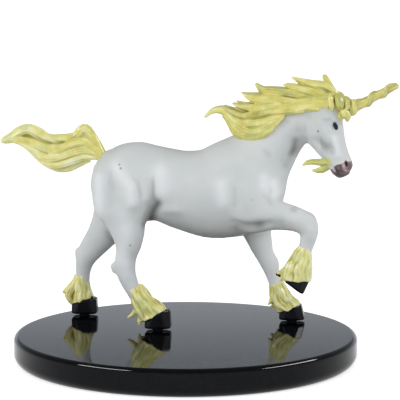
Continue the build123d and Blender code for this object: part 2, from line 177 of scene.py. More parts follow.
class Clay:
    """A block of clay: distances to the surface, in millimetres, on a regular grid."""

    def __init__(self, low, high, step):
        self.low = np.array(low, float)
        self.step = step
        self.size = np.ceil((np.array(high) - self.low) / step).astype(int) + 1
        self.field = np.full(self.size, FAR, np.float32)
        self.tone = np.zeros(self.size, np.float32)

    def part(self, low, high):
        """The grid's slices inside a box, with their coordinates."""
        first = np.clip(np.floor((low - self.low) / self.step).astype(int), 0, self.size - 1)
        last = np.clip(np.ceil((high - self.low) / self.step).astype(int) + 1, first + 1, self.size)
        inside = tuple(slice(a, b) for a, b in zip(first, last))
        axes = [(self.low[i] + self.step * np.arange(first[i], last[i])).astype(np.float32)
                for i in range(3)]
        return inside, np.ix_(*axes)

    def axes(self):
        """The coordinates of the whole grid."""
        return self.part(self.low, self.low + self.size * self.step)[1]

    def form(self, rings, side, reach, strands=None):
        """A limb's own distances and tones, and the part of the block that it fills."""
        width = rings[:, 3:].max() + reach
        where, _ = self.part(rings[:, :3].min(0) - width, rings[:, :3].max(0) + width)
        own = np.full([s.stop - s.start for s in where], FAR, np.float32)
        tone = np.zeros_like(own)
        begin = 0.0
        for first, last in zip(rings[:-1], rings[1:]):
            span = max(first[3:].max(), last[3:].max()) + reach
            inside, axes = self.part(np.minimum(first, last)[:3] - span,
                                     np.maximum(first, last)[:3] + span)
            local = tuple(slice(s.start - w.start, s.stop - w.start) for s, w in zip(inside, where))
            gap, u, v, thin, run = tube(first, last, side, *axes)
            if strands is not None:
                ridge, shade = strands(np.arctan2(v, u), begin + run)
                gap = gap - thin * ridge
                tone[local] = np.where(gap < own[local], shade, tone[local])
            own[local] = np.minimum(own[local], gap)
            begin += np.linalg.norm(last[:3] - first[:3])
        return where, own, tone

    def add(self, rings, blend, side=SIDEWAYS, spacing=0.8, strands=None):
        """Joins a limb to the block."""
        where, own, tone = self.form(flow(rings, spacing), side, blend + 0.5, strands)
        nearer = own < self.field[where]
        self.tone[where][nearer] = tone[nearer]
        self.field[where] = melted(self.field[where], own, blend)

    def swell(self, points, amount, width):
        """Raises the surface along a line, or sinks it where the amount is negative."""
        points = np.asarray(points, float)
        if len(points) == 1:
            points = np.vstack((points, points + 1e-3))
        inside, axes = self.part(points.min(0) - 3 * width, points.max(0) + 3 * width)
        self.field[inside] -= amount * near_line(points, width, *axes)

    def at(self, points, field=None):
        """Values of a field between its grid points."""
        field = self.field if field is None else field
        place = np.clip((points - self.low) / self.step, 0, self.size - 1.001)
        cell = np.floor(place).astype(int)
        f = place - cell
        total = 0
        for i, j, k in np.ndindex(2, 2, 2):
            weight = np.abs(1 - i - f[:, 0]) * np.abs(1 - j - f[:, 1]) * np.abs(1 - k - f[:, 2])
            total = total + weight * field[cell[:, 0] + i, cell[:, 1] + j, cell[:, 2] + k]
        return total

    def skin(self):
        """Points, four-sided faces and normals of the surface."""
        grid = openvdb.FloatGrid(FAR)
        grid.copyFromArray(self.field)
        points, faces = grid.convertToQuads(isovalue=0.0)
        points = self.low + points.astype(float) * self.step
        h = self.step
        slope = np.stack([self.at(points + h * e) - self.at(points - h * e) for e in np.eye(3)], 1)
        normals = slope / (np.linalg.norm(slope, axis=1)[:, None] + 1e-9)
        corner = points[faces]
        facing = np.cross(corner[:, 2] - corner[:, 0], corner[:, 3] - corner[:, 1])
        if (facing * normals[faces[:, 0]]).sum() < 0:
            faces = faces[:, ::-1]
        return points, faces.astype(int), normals

    def depth(self, points, reach):
        """How deep each point lies in a hollow: above 0 in grooves, below 0 on ridges."""
        return -self.at(points, blurred(self.field, reach)) / (reach * self.step)


def placed(name, data):
    """An object in the scene that shows the given data."""
    made = bpy.data.objects.new(name, data)
    bpy.context.scene.collection.objects.link(made)
    return made


def mesh_object(name, points, faces, normals, masks):
    """A mesh object of faces with any number of corners, with painted masks on its points."""
    mesh = bpy.data.meshes.new(name)
    mesh.vertices.add(len(points))
    mesh.vertices.foreach_set("co", to_world(points).astype(np.float32).ravel())
    counts = [len(f) for f in faces]
    starts = np.concatenate(([0], np.cumsum(counts)))
    mesh.loops.add(int(starts[-1]))
    mesh.loops.foreach_set("vertex_index", np.concatenate(faces).astype(np.int32))
    mesh.polygons.add(len(faces))
    mesh.polygons.foreach_set("loop_start", starts[:-1].astype(np.int32))
    mesh.polygons.foreach_set("use_smooth", np.ones(len(faces), bool))
    mesh.update(calc_edges=True)
    for mask, values in masks.items():
        layer = mesh.attributes.new(mask, "FLOAT", "POINT")
        layer.data.foreach_set("value", np.asarray(values, np.float32))
    mesh.normals_split_custom_set_from_vertices(turned(normals, FIGURE_YAW).tolist())
    return placed(name, mesh)


def settle(piece, paint, slot, *nodes):
    """Gives a piece its paint, its place on the figure and the CAD nodes that it stands for."""
    piece.data.materials.clear()
    piece.data.materials.append(paint)
    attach(piece, "root")
    if nodes:
        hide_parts(*nodes)


# Oval rings of the body: x, y, z of the centre, half width across, half depth
BARREL = [(-12.9, 0, 22.3, 2.2, 2.0), (-12.1, 0, 22.2, 3.8, 3.7), (-10, 0, 21.6, 4.9, 5.2),
          (-7, 0, 21.2, 5.2, 5.9), (-3.5, 0, 20.9, 5.1, 5.45), (0, 0, 20.05, 5.5, 5.9),
          (4, 0, 19.7, 5.5, 6.7), (8, 0, 20.5, 5.0, 7.0), (11, 0, 20, 4.4, 5.4),
          (13.1, 0, 19.6, 3.1, 3.1), (13.8, 0, 19.5, 1.4, 1.3)]
NECK = [(8, 0, 21.8, 4.2, 6.0), (10.9, 0, 25, 3.4, 5.0), (13.7, 0, 28.4, 2.6, 3.95),
        (16.4, 0, 31, 2.2, 3.3), (18.7, 0, 32.6, 1.9, 2.6)]
HEAD = [(0.75, 0, 33.9, 1.4, 1.5), (1.0, 0, 33.0, 1.9, 2.1), (1.45, 0, 31.2, 2.3, 2.5),
        (1.65, 0, 29.2, 2.2, 2.6), (2.5, 0, 26.8, 1.65, 2.2), (3.5, 0, 24.9, 1.45, 1.85),
        (4.1, 0, 23.7, 1.45, 1.65), (4.3, 0, 23.0, 1.0, 1.05)]
JAW = [(0.5, 0, 30.0, 1.9, 1.5), (0.3, 0, 28.6, 1.85, 1.35), (0.4, 0, 27.8, 1.5, 1.25),
       (1.2, 0, 27.0, 1.2, 1.1)]
RIGHT_EAR = [(1.1, -1.2, 32, 0.5, 0.7), (0.3, -1.9, 33, 0.45, 0.65), (-0.5, -2.2, 33.9, 0.15, 0.15)]
LEFT_EAR = [(1.6, 1.0, 32.6, 0.6, 0.6), (2.5, 1.4, 34.2, 0.45, 0.5), (2.05, 1.42, 35.4, 0.42, 0.48),
            (1.4, 1.32, 36.4, 0.44, 0.5), (1.0, 1.24, 37.05, 0.4, 0.45), (0.82, 1.21, 37.35, 0.2, 0.2)]
RIGHT_SHOULDER = [(9.9, -2.7, 22.5, 1.2, 1.6), (9.7, -3.1, 20, 2.1, 3.0), (9.9, -3.1, 17.2, 2.1, 2.9),
                  (10.2, -2.9, 15.2, 1.5, 1.8)]
RIGHT_FORELEG = [(9.2, -3, 17.2, 1.7, 2.1), (11.4, -3.1, 17.1, 1.85, 2.3), (13.5, -3, 17.0, 1.75, 2.15),
                 (15.4, -3, 16.75, 1.6, 1.95), (17.0, -2.95, 16.25, 1.5, 1.75), (18.15, -2.9, 15.4, 1.4, 1.6),
                 (18.35, -2.9, 14.2, 1.15, 1.3), (18.05, -2.9, 12.8, 0.95, 1.1),
                 (17.5, -2.9, 11.0, 0.9, 0.98), (16.95, -2.9, 8.9, 0.9, 0.95), (16.75, -2.9, 7.2, 0.8, 0.8)]
LEFT_FORELEG = [(9.5, 2.9, 22.5, 1.3, 1.8), (9.3, 3.1, 19.5, 2.1, 3.0), (9.6, 3.1, 16, 2.0, 2.9),
                (10.35, 3.1, 13.3, 1.8, 2.1), (10.9, 3.2, 11.5, 1.55, 1.72), (11.6, 3.3, 9.8, 1.35, 1.42),
                (12.15, 3.4, 8.4, 1.25, 1.22), (12.6, 3.5, 7, 1.0, 1.03), (13.05, 3.6, 5.5, 0.9, 0.95),
                (13.7, 3.8, 4, 0.9, 0.95), (14.4, 4, 2.8, 0.9, 0.95), (15, 4.1, 1.6, 0.8, 0.8)]
RIGHT_HIND_LEG = [(-8.7, -1.6, 23.4, 1.5, 2.4), (-8.9, -2.4, 21.6, 2.1, 3.6), (-8.95, -3.3, 18.8, 2.5, 4.4),
                  (-8.35, -3.5, 15.8, 2.1, 3.1), (-8.05, -3.8, 13.9, 1.8, 2.4),
                  (-8.05, -3.9, 12.4, 1.5, 1.95), (-8.35, -4, 11.1, 1.3, 1.65), (-8.65, -4.1, 9.7, 1.2, 1.7),
                  (-8.55, -4.1, 8.6, 1.15, 1.6), (-8.05, -4.2, 7.4, 1.05, 1.35),
                  (-7.45, -4.3, 6.1, 0.95, 1.15), (-6.5, -4.4, 4.4, 0.95, 1.0), (-5.5, -4.4, 3, 0.9, 0.95),
                  (-4.6, -4.4, 1.7, 0.8, 0.8)]
LEFT_HIND_LEG = [(-9.2, 1.6, 23.4, 1.5, 2.4), (-9.6, 2.4, 21.6, 2.1, 3.6), (-9.9, 3.4, 18.5, 2.4, 4.0),
                 (-11.0, 3.8, 15.4, 2.1, 3.4), (-13.0, 4.3, 12.4, 1.7, 2.3), (-14.3, 4.7, 10.7, 1.4, 1.95),
                 (-15.4, 4.95, 9.1, 1.2, 1.6), (-15.9, 5.2, 7.5, 1.0, 1.25), (-16.05, 5.4, 6.0, 0.95, 1.05),
                 (-16.05, 5.5, 5, 0.95, 1.0), (-16.05, 5.7, 3.4, 0.9, 0.95), (-15.95, 5.8, 1.6, 0.8, 0.8)]

# How softly the limbs melt into each other
BARREL_BLEND = 1.0
NECK_BLEND = 1.5
LEG_BLEND = 1.2
HEAD_BLEND = 0.9

LIMBS = {
    "torso": [(BARREL, SIDEWAYS), (NECK, SIDEWAYS)],
    "head": [(on_head(r), HEAD_SIDEWAYS) for r in (HEAD, JAW, RIGHT_EAR, LEFT_EAR)],
    "right_foreleg": [(RIGHT_SHOULDER, SIDEWAYS), (RIGHT_FORELEG, SIDEWAYS)],
    "left_foreleg": [(LEFT_FORELEG, SIDEWAYS)],
    "right_hind_leg": [(RIGHT_HIND_LEG, SIDEWAYS)],
    "left_hind_leg": [(LEFT_HIND_LEG, SIDEWAYS)],
}

# Muscles, bones and creases, as lines with a height above the surface and a width; a pair is on both sides
PAIRED = [
    ([(-10.9, 4.8, 23.0), (-10.3, 4.8, 21.0), (-9.9, 4.8, 18.8)], -0.34, 0.85),
    ([(-9.8, 5.0, 24.2), (-8.8, 5.2, 22.6), (-7.6, 5.4, 20.9), (-7.3, 5.4, 18.8)], 0.36, 0.7),
    ([(-8.0, 5.2, 23.4), (-6.6, 5.3, 21.8), (-6.0, 5.4, 20.2), (-5.9, 5.5, 18.0)], -0.16, 0.6),
    ([(-5.1, 5.2, 22.5), (-5.0, 5.2, 19.5)], 0.25, 0.5),
    ([(-4.35, 5.2, 23.2), (-4.25, 5.2, 21.2), (-4.2, 5.0, 19.3)], -0.25, 0.4),
    ([(-3.2, 5.2, 23.6), (-2.9, 5.2, 20.8)], 0.2, 0.9),
    ([(-3.6, 4.6, 18.6), (-4.2, 4.5, 17.8), (-4.6, 4.3, 16.8), (-5.2, 4.2, 15.5)], -0.45, 0.6),
    ([(-2.6, 4.9, 17.6), (-0.6, 5.2, 17.8)], 0.2, 0.6),
    ([(5.7, 5.5, 21.9), (6.1, 5.5, 19.3)], 0.25, 1.0),
    ([(7.9, 5.3, 22.5), (7.6, 5.3, 19.0)], -0.15, 0.7),
    ([(11.4, 3.8, 27.2), (12.1, 4.0, 25.9), (12.9, 4.0, 25.3), (13.8, 3.6, 23.6)], -0.3, 0.4),
    ([(11.9, 4.6, 22.6), (11.9, 4.6, 20.9)], 0.15, 0.5),
    ([(12.4, 4.5, 22.4), (13.0, 4.2, 20.7)], -0.2, 0.4),
    ([(14.6, 2.2, 25.0), (15.6, 2.0, 27.6), (16.6, 1.9, 29.2)], -0.3, 0.8),
]
RIGHT_ONLY = [
    ([(7.4, -4.8, 15.95), (9.3, -4.8, 15.8), (11.2, -4.8, 15.9), (12.8, -4.6, 16.1)], -0.25, 0.4),
    ([(11.9, -4.9, 20.4), (13.1, -4.9, 18.9)], -0.3, 0.4),
    ([(14.2, -4.8, 17.6), (15.6, -4.5, 16.6)], 0.2, 0.6),
    ([(-10.4, -4.1, 9.2), (-10.25, -4.1, 8.75)], 0.5, 0.36),
    ([(-10.2, -4.1, 10.4)], -0.16, 0.4),
    ([(-9.5, -4.2, 7.9)], -0.14, 0.35),
    ([(-10.0, -4.0, 11.2), (-9.8, -4.0, 7.2)], -0.12, 0.5),
    ([(15.7, -4.6, 18.3), (16.7, -4.5, 17.85)], -0.25, 0.25),
    ([(-8.1, -5.2, 9.4), (-8.0, -5.2, 8.0)], 0.15, 0.5),
    ([(18.6, -4.2, 15.1), (18.5, -4.2, 14.0)], 0.15, 0.5),
    ([(18.6, -3.4, 16.7), (18.6, -2.4, 16.7)], 0.4, 0.6),
]
LEFT_ONLY = [
    ([(-16.9, 5.0, 9.9), (-16.8, 5.1, 9.3)], 0.4, 0.35),
    ([(12.5, 4.7, 8.8), (12.6, 4.7, 8.0)], 0.15, 0.5),
    ([(13.2, 3.4, 9.2), (13.35, 3.4, 8.5)], 0.25, 0.45),
    ([(12.5, 3.2, 10.8)], -0.15, 0.5),
]
# The same on both sides of the face, in the head's frame
FACE = [
    ([(3.45, 1.75, 30.2)], -0.22, 0.5),
    ([(1.9, 2.35, 31.4), (2.63, 2.1, 31.5), (3.3, 1.8, 31.2), (3.8, 1.3, 30.8)], 0.25, 0.32),
    ([(3.0, 2.0, 29.5), (3.7, 1.5, 29.5)], 0.1, 0.3),
    ([(0.7, 2.2, 29.7)], 0.25, 1.2),
    ([(2.85, 1.98, 28.4), (3.25, 1.65, 27.1), (3.8, 1.41, 25.8)], 0.18, 0.35),
    ([(0.9, 2.1, 27.8), (1.9, 1.75, 26.9), (2.9, 1.6, 26.3)], -0.25, 0.5),
    ([(4.9, 1.0, 24.6)], 0.2, 0.45),
    ([(2.7, 1.2, 24.0), (3.45, 1.4, 23.55), (4.3, 1.3, 23.36), (5.0, 1.0, 23.3), (5.5, 0.2, 23.3)],
     -0.28, 0.15),
    ([(3.6, 0.4, 22.6)], 0.15, 0.5),
]
NOSTRIL = ([(4.86, 1.22, 24.85), (4.92, 1.2, 24.6), (4.98, 1.15, 24.35)], -0.35, 0.25)


def both_sides(lines):
    """Each line of a pair, on the left and on the right."""
    for points, amount, width in lines:
        points = np.asarray(points, float)
        yield points, amount, width
        yield points * (1, -1, 1), amount, width


def sculpt_body():
    """The horse's hide in one piece of clay."""
    clay = Clay((-19.5, -8.5, 0.3), (26.2, 9.0, 39.2), BODY_STEP)
    clay.add(BARREL, BARREL_BLEND)
    clay.add(NECK, NECK_BLEND)
    for name in ("right_hind_leg", "left_hind_leg", "left_foreleg", "right_foreleg"):
        for rings, side in LIMBS[name]:
            clay.add(rings, LEG_BLEND, side)
    for rings, side in LIMBS["head"]:
        clay.add(rings, HEAD_BLEND, side)
    clay.field = blurred(clay.field, reach=1)
    for points, amount, width in list(both_sides(PAIRED)) + RIGHT_ONLY + LEFT_ONLY:
        clay.swell(points, amount, width)
    for points, amount, width in both_sides(FACE + [NOSTRIL]):
        clay.swell(on_head(points), amount, width)
    return clay


def nearest_limb(points):
    """For each point, the number of the limb that it belongs to."""
    gaps = []
    for limbs in LIMBS.values():
        gap = None
        for rings, side in limbs:
            rings = flow(rings, spacing=1.2)
            for first, last in zip(rings[:-1], rings[1:]):
                d = tube(first, last, side, *points.T)[0]
                gap = d if gap is None else np.minimum(gap, d)
        gaps.append(gap)
    return np.argmin(gaps, 0)


def eased(value, low, high):
    """0 up to the low value, 1 from the high one, smooth between."""
    t = np.clip((value - low) / (high - low), 0, 1)
    return t * t * (3 - 2 * t)


def dabbed(dabs, core, *axes):
    """The strength of dabs of paint at each point: full over the core, a share of the reach, then fading."""
    out = np.zeros(len(axes[0]))
    for *place, reach, strength in dabs:
        gap = np.sqrt(sum((axis - at) ** 2 for axis, at in zip(axes, place)))
        out = np.maximum(out, strength * (1 - eased(gap, core * reach, reach)))
    return out


# Places of hair paint that strayed on the hide, with a reach and a strength each, and dark specks on the
# right side, by x and z alone; the core is the share of the reach that is fully covered
STRAY_CORE = 0.4
SPECK_CORE = 0.3
STRAYED = [(18.7, -2.4, 31.4, 0.9, 0.3), (19.4, -2.4, 31.2, 0.7, 0.25), (21.0, -1.5, 24.8, 0.9, 1.0),
           (20.5, -1.4, 25.3, 0.6, 0.8), (-12.75, -0.7, 24.9, 0.6, 0.7)]
SPECKS = [(-9.23, 24.37, 0.2, 0.6), (-9.01, 23.86, 0.22, 0.65), (19.57, 29.4, 0.22, 0.7),
          (-7.6, 12.6, 0.2, 0.6), (10.2, 19.6, 0.18, 0.3)]
# Marks of painted shade and painted highlights, as lines of x and z, with a reach and a strength: above 0
# grey painted shade in the hollows and creases and under the body, below 0 pale painted highlights on the
# muscles
SHADING_MARKS = [
    ([(16.05, 28.0), (15.9, 26.7), (15.4, 25.5), (14.8, 24.2)], 0.38, 0.3),
    ([(16.3, 27.9), (16.0, 26.8), (15.6, 26.0)], 0.34, 0.3),
    ([(17.2, 28.2), (16.9, 27.3), (16.4, 26.4)], 0.65, 0.36),
    ([(-3.6, 18.7), (-4.2, 17.8), (-4.6, 16.8), (-5.2, 15.5)], 0.45, 0.9),
    ([(-4.35, 22.3), (-4.25, 19.2)], 0.35, 0.15),
    ([(-10.9, 22.6), (-10.1, 20.7), (-10.0, 18.7)], 0.8, 0.08),
    ([(-9.8, 24.2), (-8.8, 22.8), (-7.6, 21.2), (-7.3, 19.3)], 0.6, -0.6),
    ([(-3.3, 23.6), (-2.9, 20.6)], 0.8, -0.55),
    ([(5.7, 21.7), (6.0, 19.1)], 0.7, -0.55),
    ([(11.9, 22.6), (11.9, 20.9)], 0.5, -0.6),
    ([(13.2, 21.9), (13.5, 20.3)], 0.5, -0.7),
    ([(-12.4, 22.3), (-12.3, 17.2)], 0.6, -0.5),
    ([(-8.5, 17.0), (-8.0, 13.8), (-8.6, 10.4), (-8.0, 7.6)], 0.9, -0.5),
    ([(18.6, 15.0), (18.0, 12.6)], 0.8, -0.3),
]
# The same on the right side alone, and on what the left legs turn to the right
RIGHT_SHADING_MARKS = [
    ([(7.9, 15.6), (9.6, 15.7), (11.2, 15.9)], 0.6, 0.5),
    ([(11.2, 15.9), (12.8, 16.1), (14.4, 16.2)], 0.45, 0.25),
    ([(16.0, 18.1), (16.4, 18.0)], 0.25, 0.3),
    ([(12.6, 19.4), (12.9, 19.0)], 0.3, 0.15),
    ([(11.9, 26.4), (12.4, 25.9)], 0.3, 0.15),
    ([(-7.7, 11.9), (-7.5, 11.3)], 0.5, 0.3),
    ([(-12.0, 15.8), (-11.8, 15.5)], 0.25, 0.3),
]
# On the left legs: painted shade where the body shades their tops, and painted light down the left foreleg
FAR_SHADING_MARKS = [([(7.9, 13.3), (8.9, 12.3)], 0.55, 0.4), ([(-11.9, 13.1), (-11.4, 11.8)], 0.35, 0.35),
               ([(11.0, 12.0), (12.4, 8.0), (13.3, 5.0)], 1.0, -0.8)]
# The same on the face, in the head's frame
FACE_SHADING_MARKS = [
    ([(1.2, 27.7), (2.0, 27.1)], 0.55, 0.5),
    ([(2.75, 28.0), (3.0, 27.2), (3.5, 26.2)], 0.16, 0.16),
    ([(3.35, 28.4), (3.75, 26.0)], 0.3, -0.6),
    ([(2.0, 31.2), (2.8, 31.3)], 0.2, 0.12),
    ([(2.2, 29.6), (2.6, 28.6)], 0.6, -0.2),
]
# Painted shade on what faces down, from the belly up
UNDER_SHADE = 0.16
BELLY_LOW = 12
# On the muzzle: the nostril, the edge of the pink, the bare chin and the pink and dark of the lips
NOSTRIL_PAINT = ([(x, z) for x, _, z in NOSTRIL[0]], 0.17)
MUZZLE_EDGE = [(2.0, 23.0), (2.68, 23.75), (3.42, 24.4), (4.47, 24.66), (4.76, 25.0), (5.51, 24.85),
               (5.9, 24.5)]
BARE_CHIN = ([(2.95, 23.95), (3.2, 23.45)], 0.16)
LIP_PAINT = [
    ([(4.54, 24.45), (4.6, 24.0), (4.85, 23.5)], 0.15, 1.1),
    ([(4.1, 24.3), (4.17, 23.65)], 0.1, -0.9),
    ([(3.58, 23.95), (3.73, 23.35)], 0.13, -0.7),
    ([(3.4, 24.35), (4.2, 24.5)], 0.12, -0.6),
    ([(3.2, 23.1), (4.0, 22.8)], 0.3, -0.6),
    ([(5.2, 24.05), (5.22, 23.9)], 0.15, -0.5),
    ([(5.75, 24.7), (5.7, 23.9)], 0.2, 0.3),
    ([(3.34, 23.6), (4.05, 23.46), (4.9, 23.32)], 0.08, -0.5),
]


def line_marks(x, z, marks):
    """The sum of marks, each a line with a reach and a strength: the paint of the lips, or painted shade and
    highlights on the hide.
    """
    return sum(strength * near_line(line, reach, x, z) for line, reach, strength in marks)


def hide_masks(points, normals):
    """Where the hide is painted other than white."""
    x, y, z = points.T
    hx, _, hz = turned(points - HEAD_AT, -HEAD_YAW).T
    in_head = (hx > 1.2) * (z > 21.5)
    edge = np.interp(hx, *np.transpose(MUZZLE_EDGE))
    muzzle = eased(edge - hz, -0.2, 0.25) * in_head - 0.7 * near_line(*BARE_CHIN, hx, hz)
    ear = eased(z, 33.0, 33.8) * (x > 19.5)
    # Painted shading: above 0 grey painted shade, below 0 pale painted highlights
    painted_shading = UNDER_SHADE * eased(-normals[:, 2], 0.5, 0.95) * (z > BELLY_LOW)
    painted_shading += line_marks(x, z, RIGHT_SHADING_MARKS) * (y < 0)
    painted_shading += line_marks(x, z, FAR_SHADING_MARKS) * (y > 0) * eased(-normals[:, 1], -0.3, 0.2)
    painted_shading += line_marks(x, z, SHADING_MARKS)
    painted_shading += line_marks(hx, hz, FACE_SHADING_MARKS) * in_head
    lips = line_marks(hx, hz, LIP_PAINT) * in_head
    nostril = eased(near_line(*NOSTRIL_PAINT, hx, hz), 0.35, 0.75) * in_head
    speck = np.maximum(nostril, dabbed(SPECKS, SPECK_CORE, x, z) * (y < 0))
    stray = np.maximum(dabbed(STRAYED, STRAY_CORE, x, y, z), ear)
    return {"muzzle": muzzle, "stray": stray, "painted_shading": painted_shading, "lips": lips, "speck": speck}


# How far the caps that close the pieces are sunk under the skin
CAP_SINK = 0.3


def body_pieces(paint):
    """Cuts the hide into the pieces of the figure, each closed where it meets the next."""
    clay = sculpt_body()
    points, faces, normals = clay.skin()
    painted = {"depth": clay.depth(points, HOLLOW_REACH), **hide_masks(points, normals)}
    label = nearest_limb(points[faces].mean(1))
    for number, name in enumerate(LIMBS):
        own = faces[label == number]
        edges = np.concatenate([own[:, [i, (i + 1) % 4]] for i in range(4)])
        _, where, count = np.unique(np.sort(edges, 1), axis=0, return_inverse=True, return_counts=True)
        rim = edges[count[where.ravel()] == 1]
        used, renumbered = np.unique(own, return_inverse=True)
        own = renumbered.reshape(own.shape)
        rim = np.searchsorted(used, rim)
        group = {}
        for a, b in rim:
            group.setdefault(int(a), int(a))
            group.setdefault(int(b), int(b))

        def root(v):
            while group[v] != v:
                v = group[v]
            return v

        for a, b in rim:
            group[root(int(a))] = root(int(b))
        roots = {r: len(used) + i for i, r in enumerate(sorted({root(v) for v in group}))}
        centres = []
        for r in roots:
            members = [v for v in group if root(v) == r]
            centres.append(points[used[members]].mean(0) - CAP_SINK * normals[used[members]].mean(0))
        caps = [np.array((b, a, roots[root(int(a))])) for a, b in rim]
        own_points = np.vstack((points[used], np.array(centres).reshape(-1, 3)))
        own_normals = np.vstack((normals[used], np.tile((0.0, 0.0, 1.0), (len(centres), 1))))
        masks = {mask: np.concatenate((values[used], np.zeros(len(centres))))
                 for mask, values in painted.items()}
        piece = mesh_object(name + "_hide", own_points, list(own) + caps, own_normals, masks)
        settle(piece, paint, "white_paint", name)


def material(name):
    """A node material, with its node tree and its shader."""
    made = bpy.data.materials.new(name)
    made.use_nodes = True
    return made, made.node_tree, made.node_tree.nodes["Principled BSDF"]


def node(tree, kind, **settings):
    """A node with the given settings; other names are its sockets, with _ for each space."""
    made = tree.nodes.new("ShaderNode" + kind)
    for key, value in settings.items():
        if hasattr(made, key):
            setattr(made, key, value)
        else:
            made.inputs[key.replace("_", " ")].default_value = value
    return made


def ramp(tree, source, stops):
    """A colour ramp over a value."""
    made = tree.nodes.new("ShaderNodeValToRGB")
    tree.links.new(source, made.inputs[0])
    band = made.color_ramp.elements
    while len(band) < len(stops):
        band.new(0.5)
    for element, (place, colour) in zip(band, stops):
        element.position = place
        element.color = (*colour, 1)
    return made.outputs[0]


def level(tree, source, first, last):
    """A grey ramp over a value, between two stops of a place and a level each."""
    return ramp(tree, source, [(place, (grey, grey, grey)) for place, grey in (first, last)])


def noise(tree, scale, detail=3.0):
    """Noise in the row frame, at so many features per metre."""
    place = tree.nodes.new("ShaderNodeNewGeometry")
    made = node(tree, "TexNoise", Scale=scale, Detail=detail)
    tree.links.new(place.outputs["Position"], made.inputs["Vector"])
    return made.outputs["Fac"]


def attribute(tree, name):
    """A painted mask of the mesh."""
    return node(tree, "Attribute", attribute_name=name).outputs["Fac"]


def maths(tree, how, *values, clamp=False):
    """A calculation on values, each a number or a socket."""
    made = node(tree, "Math", operation=how, use_clamp=clamp)
    for i, value in enumerate(values):
        if isinstance(value, (int, float)):
            made.inputs[i].default_value = value
        else:
            tree.links.new(value, made.inputs[i])
    return made.outputs[0]


def mixed(tree, factor, first, second):
    """Two colours mixed, each given as three numbers or a socket."""
    made = node(tree, "Mix", data_type="RGBA")
    for socket, value in ((made.inputs[0], factor), (made.inputs[6], first), (made.inputs[7], second)):
        if isinstance(value, tuple):
            socket.default_value = (*value, 1)
        else:
            tree.links.new(value, socket)
    return made.outputs[2]


def relief(tree, shader, height, strength, distance):
    """Fine relief of the paint."""
    bump = node(tree, "Bump", Strength=strength, Distance=distance)
    tree.links.new(height, bump.inputs["Height"])
    tree.links.new(bump.outputs[0], shader.inputs["Normal"])


# Paints of the hair, from dark to pale, and its patches; the olive is also painted shade in the grooves, and
# the pale painted highlights on the ridges
HAIR_OLIVE = (0.28, 0.25, 0.05)
HAIR_STRAW = (0.54, 0.51, 0.15)
HAIR_LEMON = (0.74, 0.68, 0.19)
HAIR_PALE = (0.85, 0.81, 0.36)
HAIR_CREAM = (0.89, 0.87, 0.58)
HAIR_GREEN = (0.54, 0.59, 0.18)
HAIR_OCHRE = (0.74, 0.62, 0.12)


def hair_colour(tree, streak):
    """Straw yellow in streaks, with greenish and ochre patches."""
    tone = maths(tree, "MULTIPLY_ADD", noise(tree, 900.0), 0.5, streak)
    colour = ramp(tree, tone, [(0.2, HAIR_OLIVE), (0.42, HAIR_STRAW), (0.64, HAIR_LEMON), (0.82, HAIR_PALE),
                              (1.0, HAIR_CREAM)])
    patches = noise(tree, 380.0, 2.0)
    green = level(tree, patches, (0.3, 1), (0.5, 0))
    colour = mixed(tree, maths(tree, "MULTIPLY", green, 0.6), colour, HAIR_GREEN)
    ochre = level(tree, patches, (0.52, 0), (0.72, 1))
    return mixed(tree, maths(tree, "MULTIPLY", ochre, 0.5), colour, HAIR_OCHRE)


# Paints of the hide: white between two tones, the pale of painted highlights, the grey of painted shade,
# specks, and the dark and pink of the muzzle
WHITE_SHADES = [(0.3, (0.61, 0.635, 0.63)), (0.7, (0.68, 0.69, 0.675))]
HIGHLIGHT_WHITE = (0.86, 0.88, 0.89)
SHADE_GREY = (0.17, 0.17, 0.17)
SPECK_DARK = (0.02, 0.012, 0.012)
MUZZLE_SHADES = [(0.1, (0.05, 0.035, 0.035)), (0.4, (0.14, 0.095, 0.1)), (0.62, (0.28, 0.185, 0.2)),
                 (0.95, (0.66, 0.42, 0.47))]


def white_paint():
    """Off-white paint with grey painted shade and pale painted highlights, a mauve muzzle and strayed hair
    paint.
    """
    made, tree, shader = material("white_paint")
    colour = ramp(tree, noise(tree, 260.0), WHITE_SHADES)
    grain = noise(tree, 1500.0)
    uneven = maths(tree, "MULTIPLY_ADD", grain, 0.9, -0.45)
    marked_shading = attribute(tree, "painted_shading")
    # Painted highlights: pale white where the marks are below 0
    pale = maths(tree, "MULTIPLY", marked_shading, -1.0, clamp=True)
    colour = mixed(tree, pale, colour, HIGHLIGHT_WHITE)
    stray = maths(tree, "MULTIPLY_ADD", uneven, 0.8, attribute(tree, "stray"), clamp=True)
    stray = maths(tree, "MULTIPLY", stray, attribute(tree, "stray"), clamp=True)
    colour = mixed(tree, stray, colour, hair_colour(tree, 0.35))
    lips = maths(tree, "MULTIPLY_ADD", attribute(tree, "lips"), 0.4, grain)
    pink = ramp(tree, lips, MUZZLE_SHADES)
    muzzle = maths(tree, "ADD", attribute(tree, "muzzle"), uneven)
    muzzle = level(tree, muzzle, (0.25, 0), (0.7, 0.95))
    colour = mixed(tree, muzzle, colour, pink)
    # Painted shade: grey in the hollows, and where the marks are above 0
    hollow = level(tree, attribute(tree, "depth"), (0.08, 0), (0.6, 0.8))
    painted_shading = maths(tree, "MAXIMUM", hollow, marked_shading, clamp=True)
    colour = mixed(tree, painted_shading, colour, SHADE_GREY)
    colour = mixed(tree, attribute(tree, "speck"), colour, SPECK_DARK)
    tree.links.new(colour, shader.inputs["Base Color"])
    shader.inputs["Roughness"].default_value = 0.5
    shader.inputs["IOR"].default_value = 1.3
    relief(tree, shader, noise(tree, 2600.0, 2.0), strength=0.06, distance=0.00008)
    return made


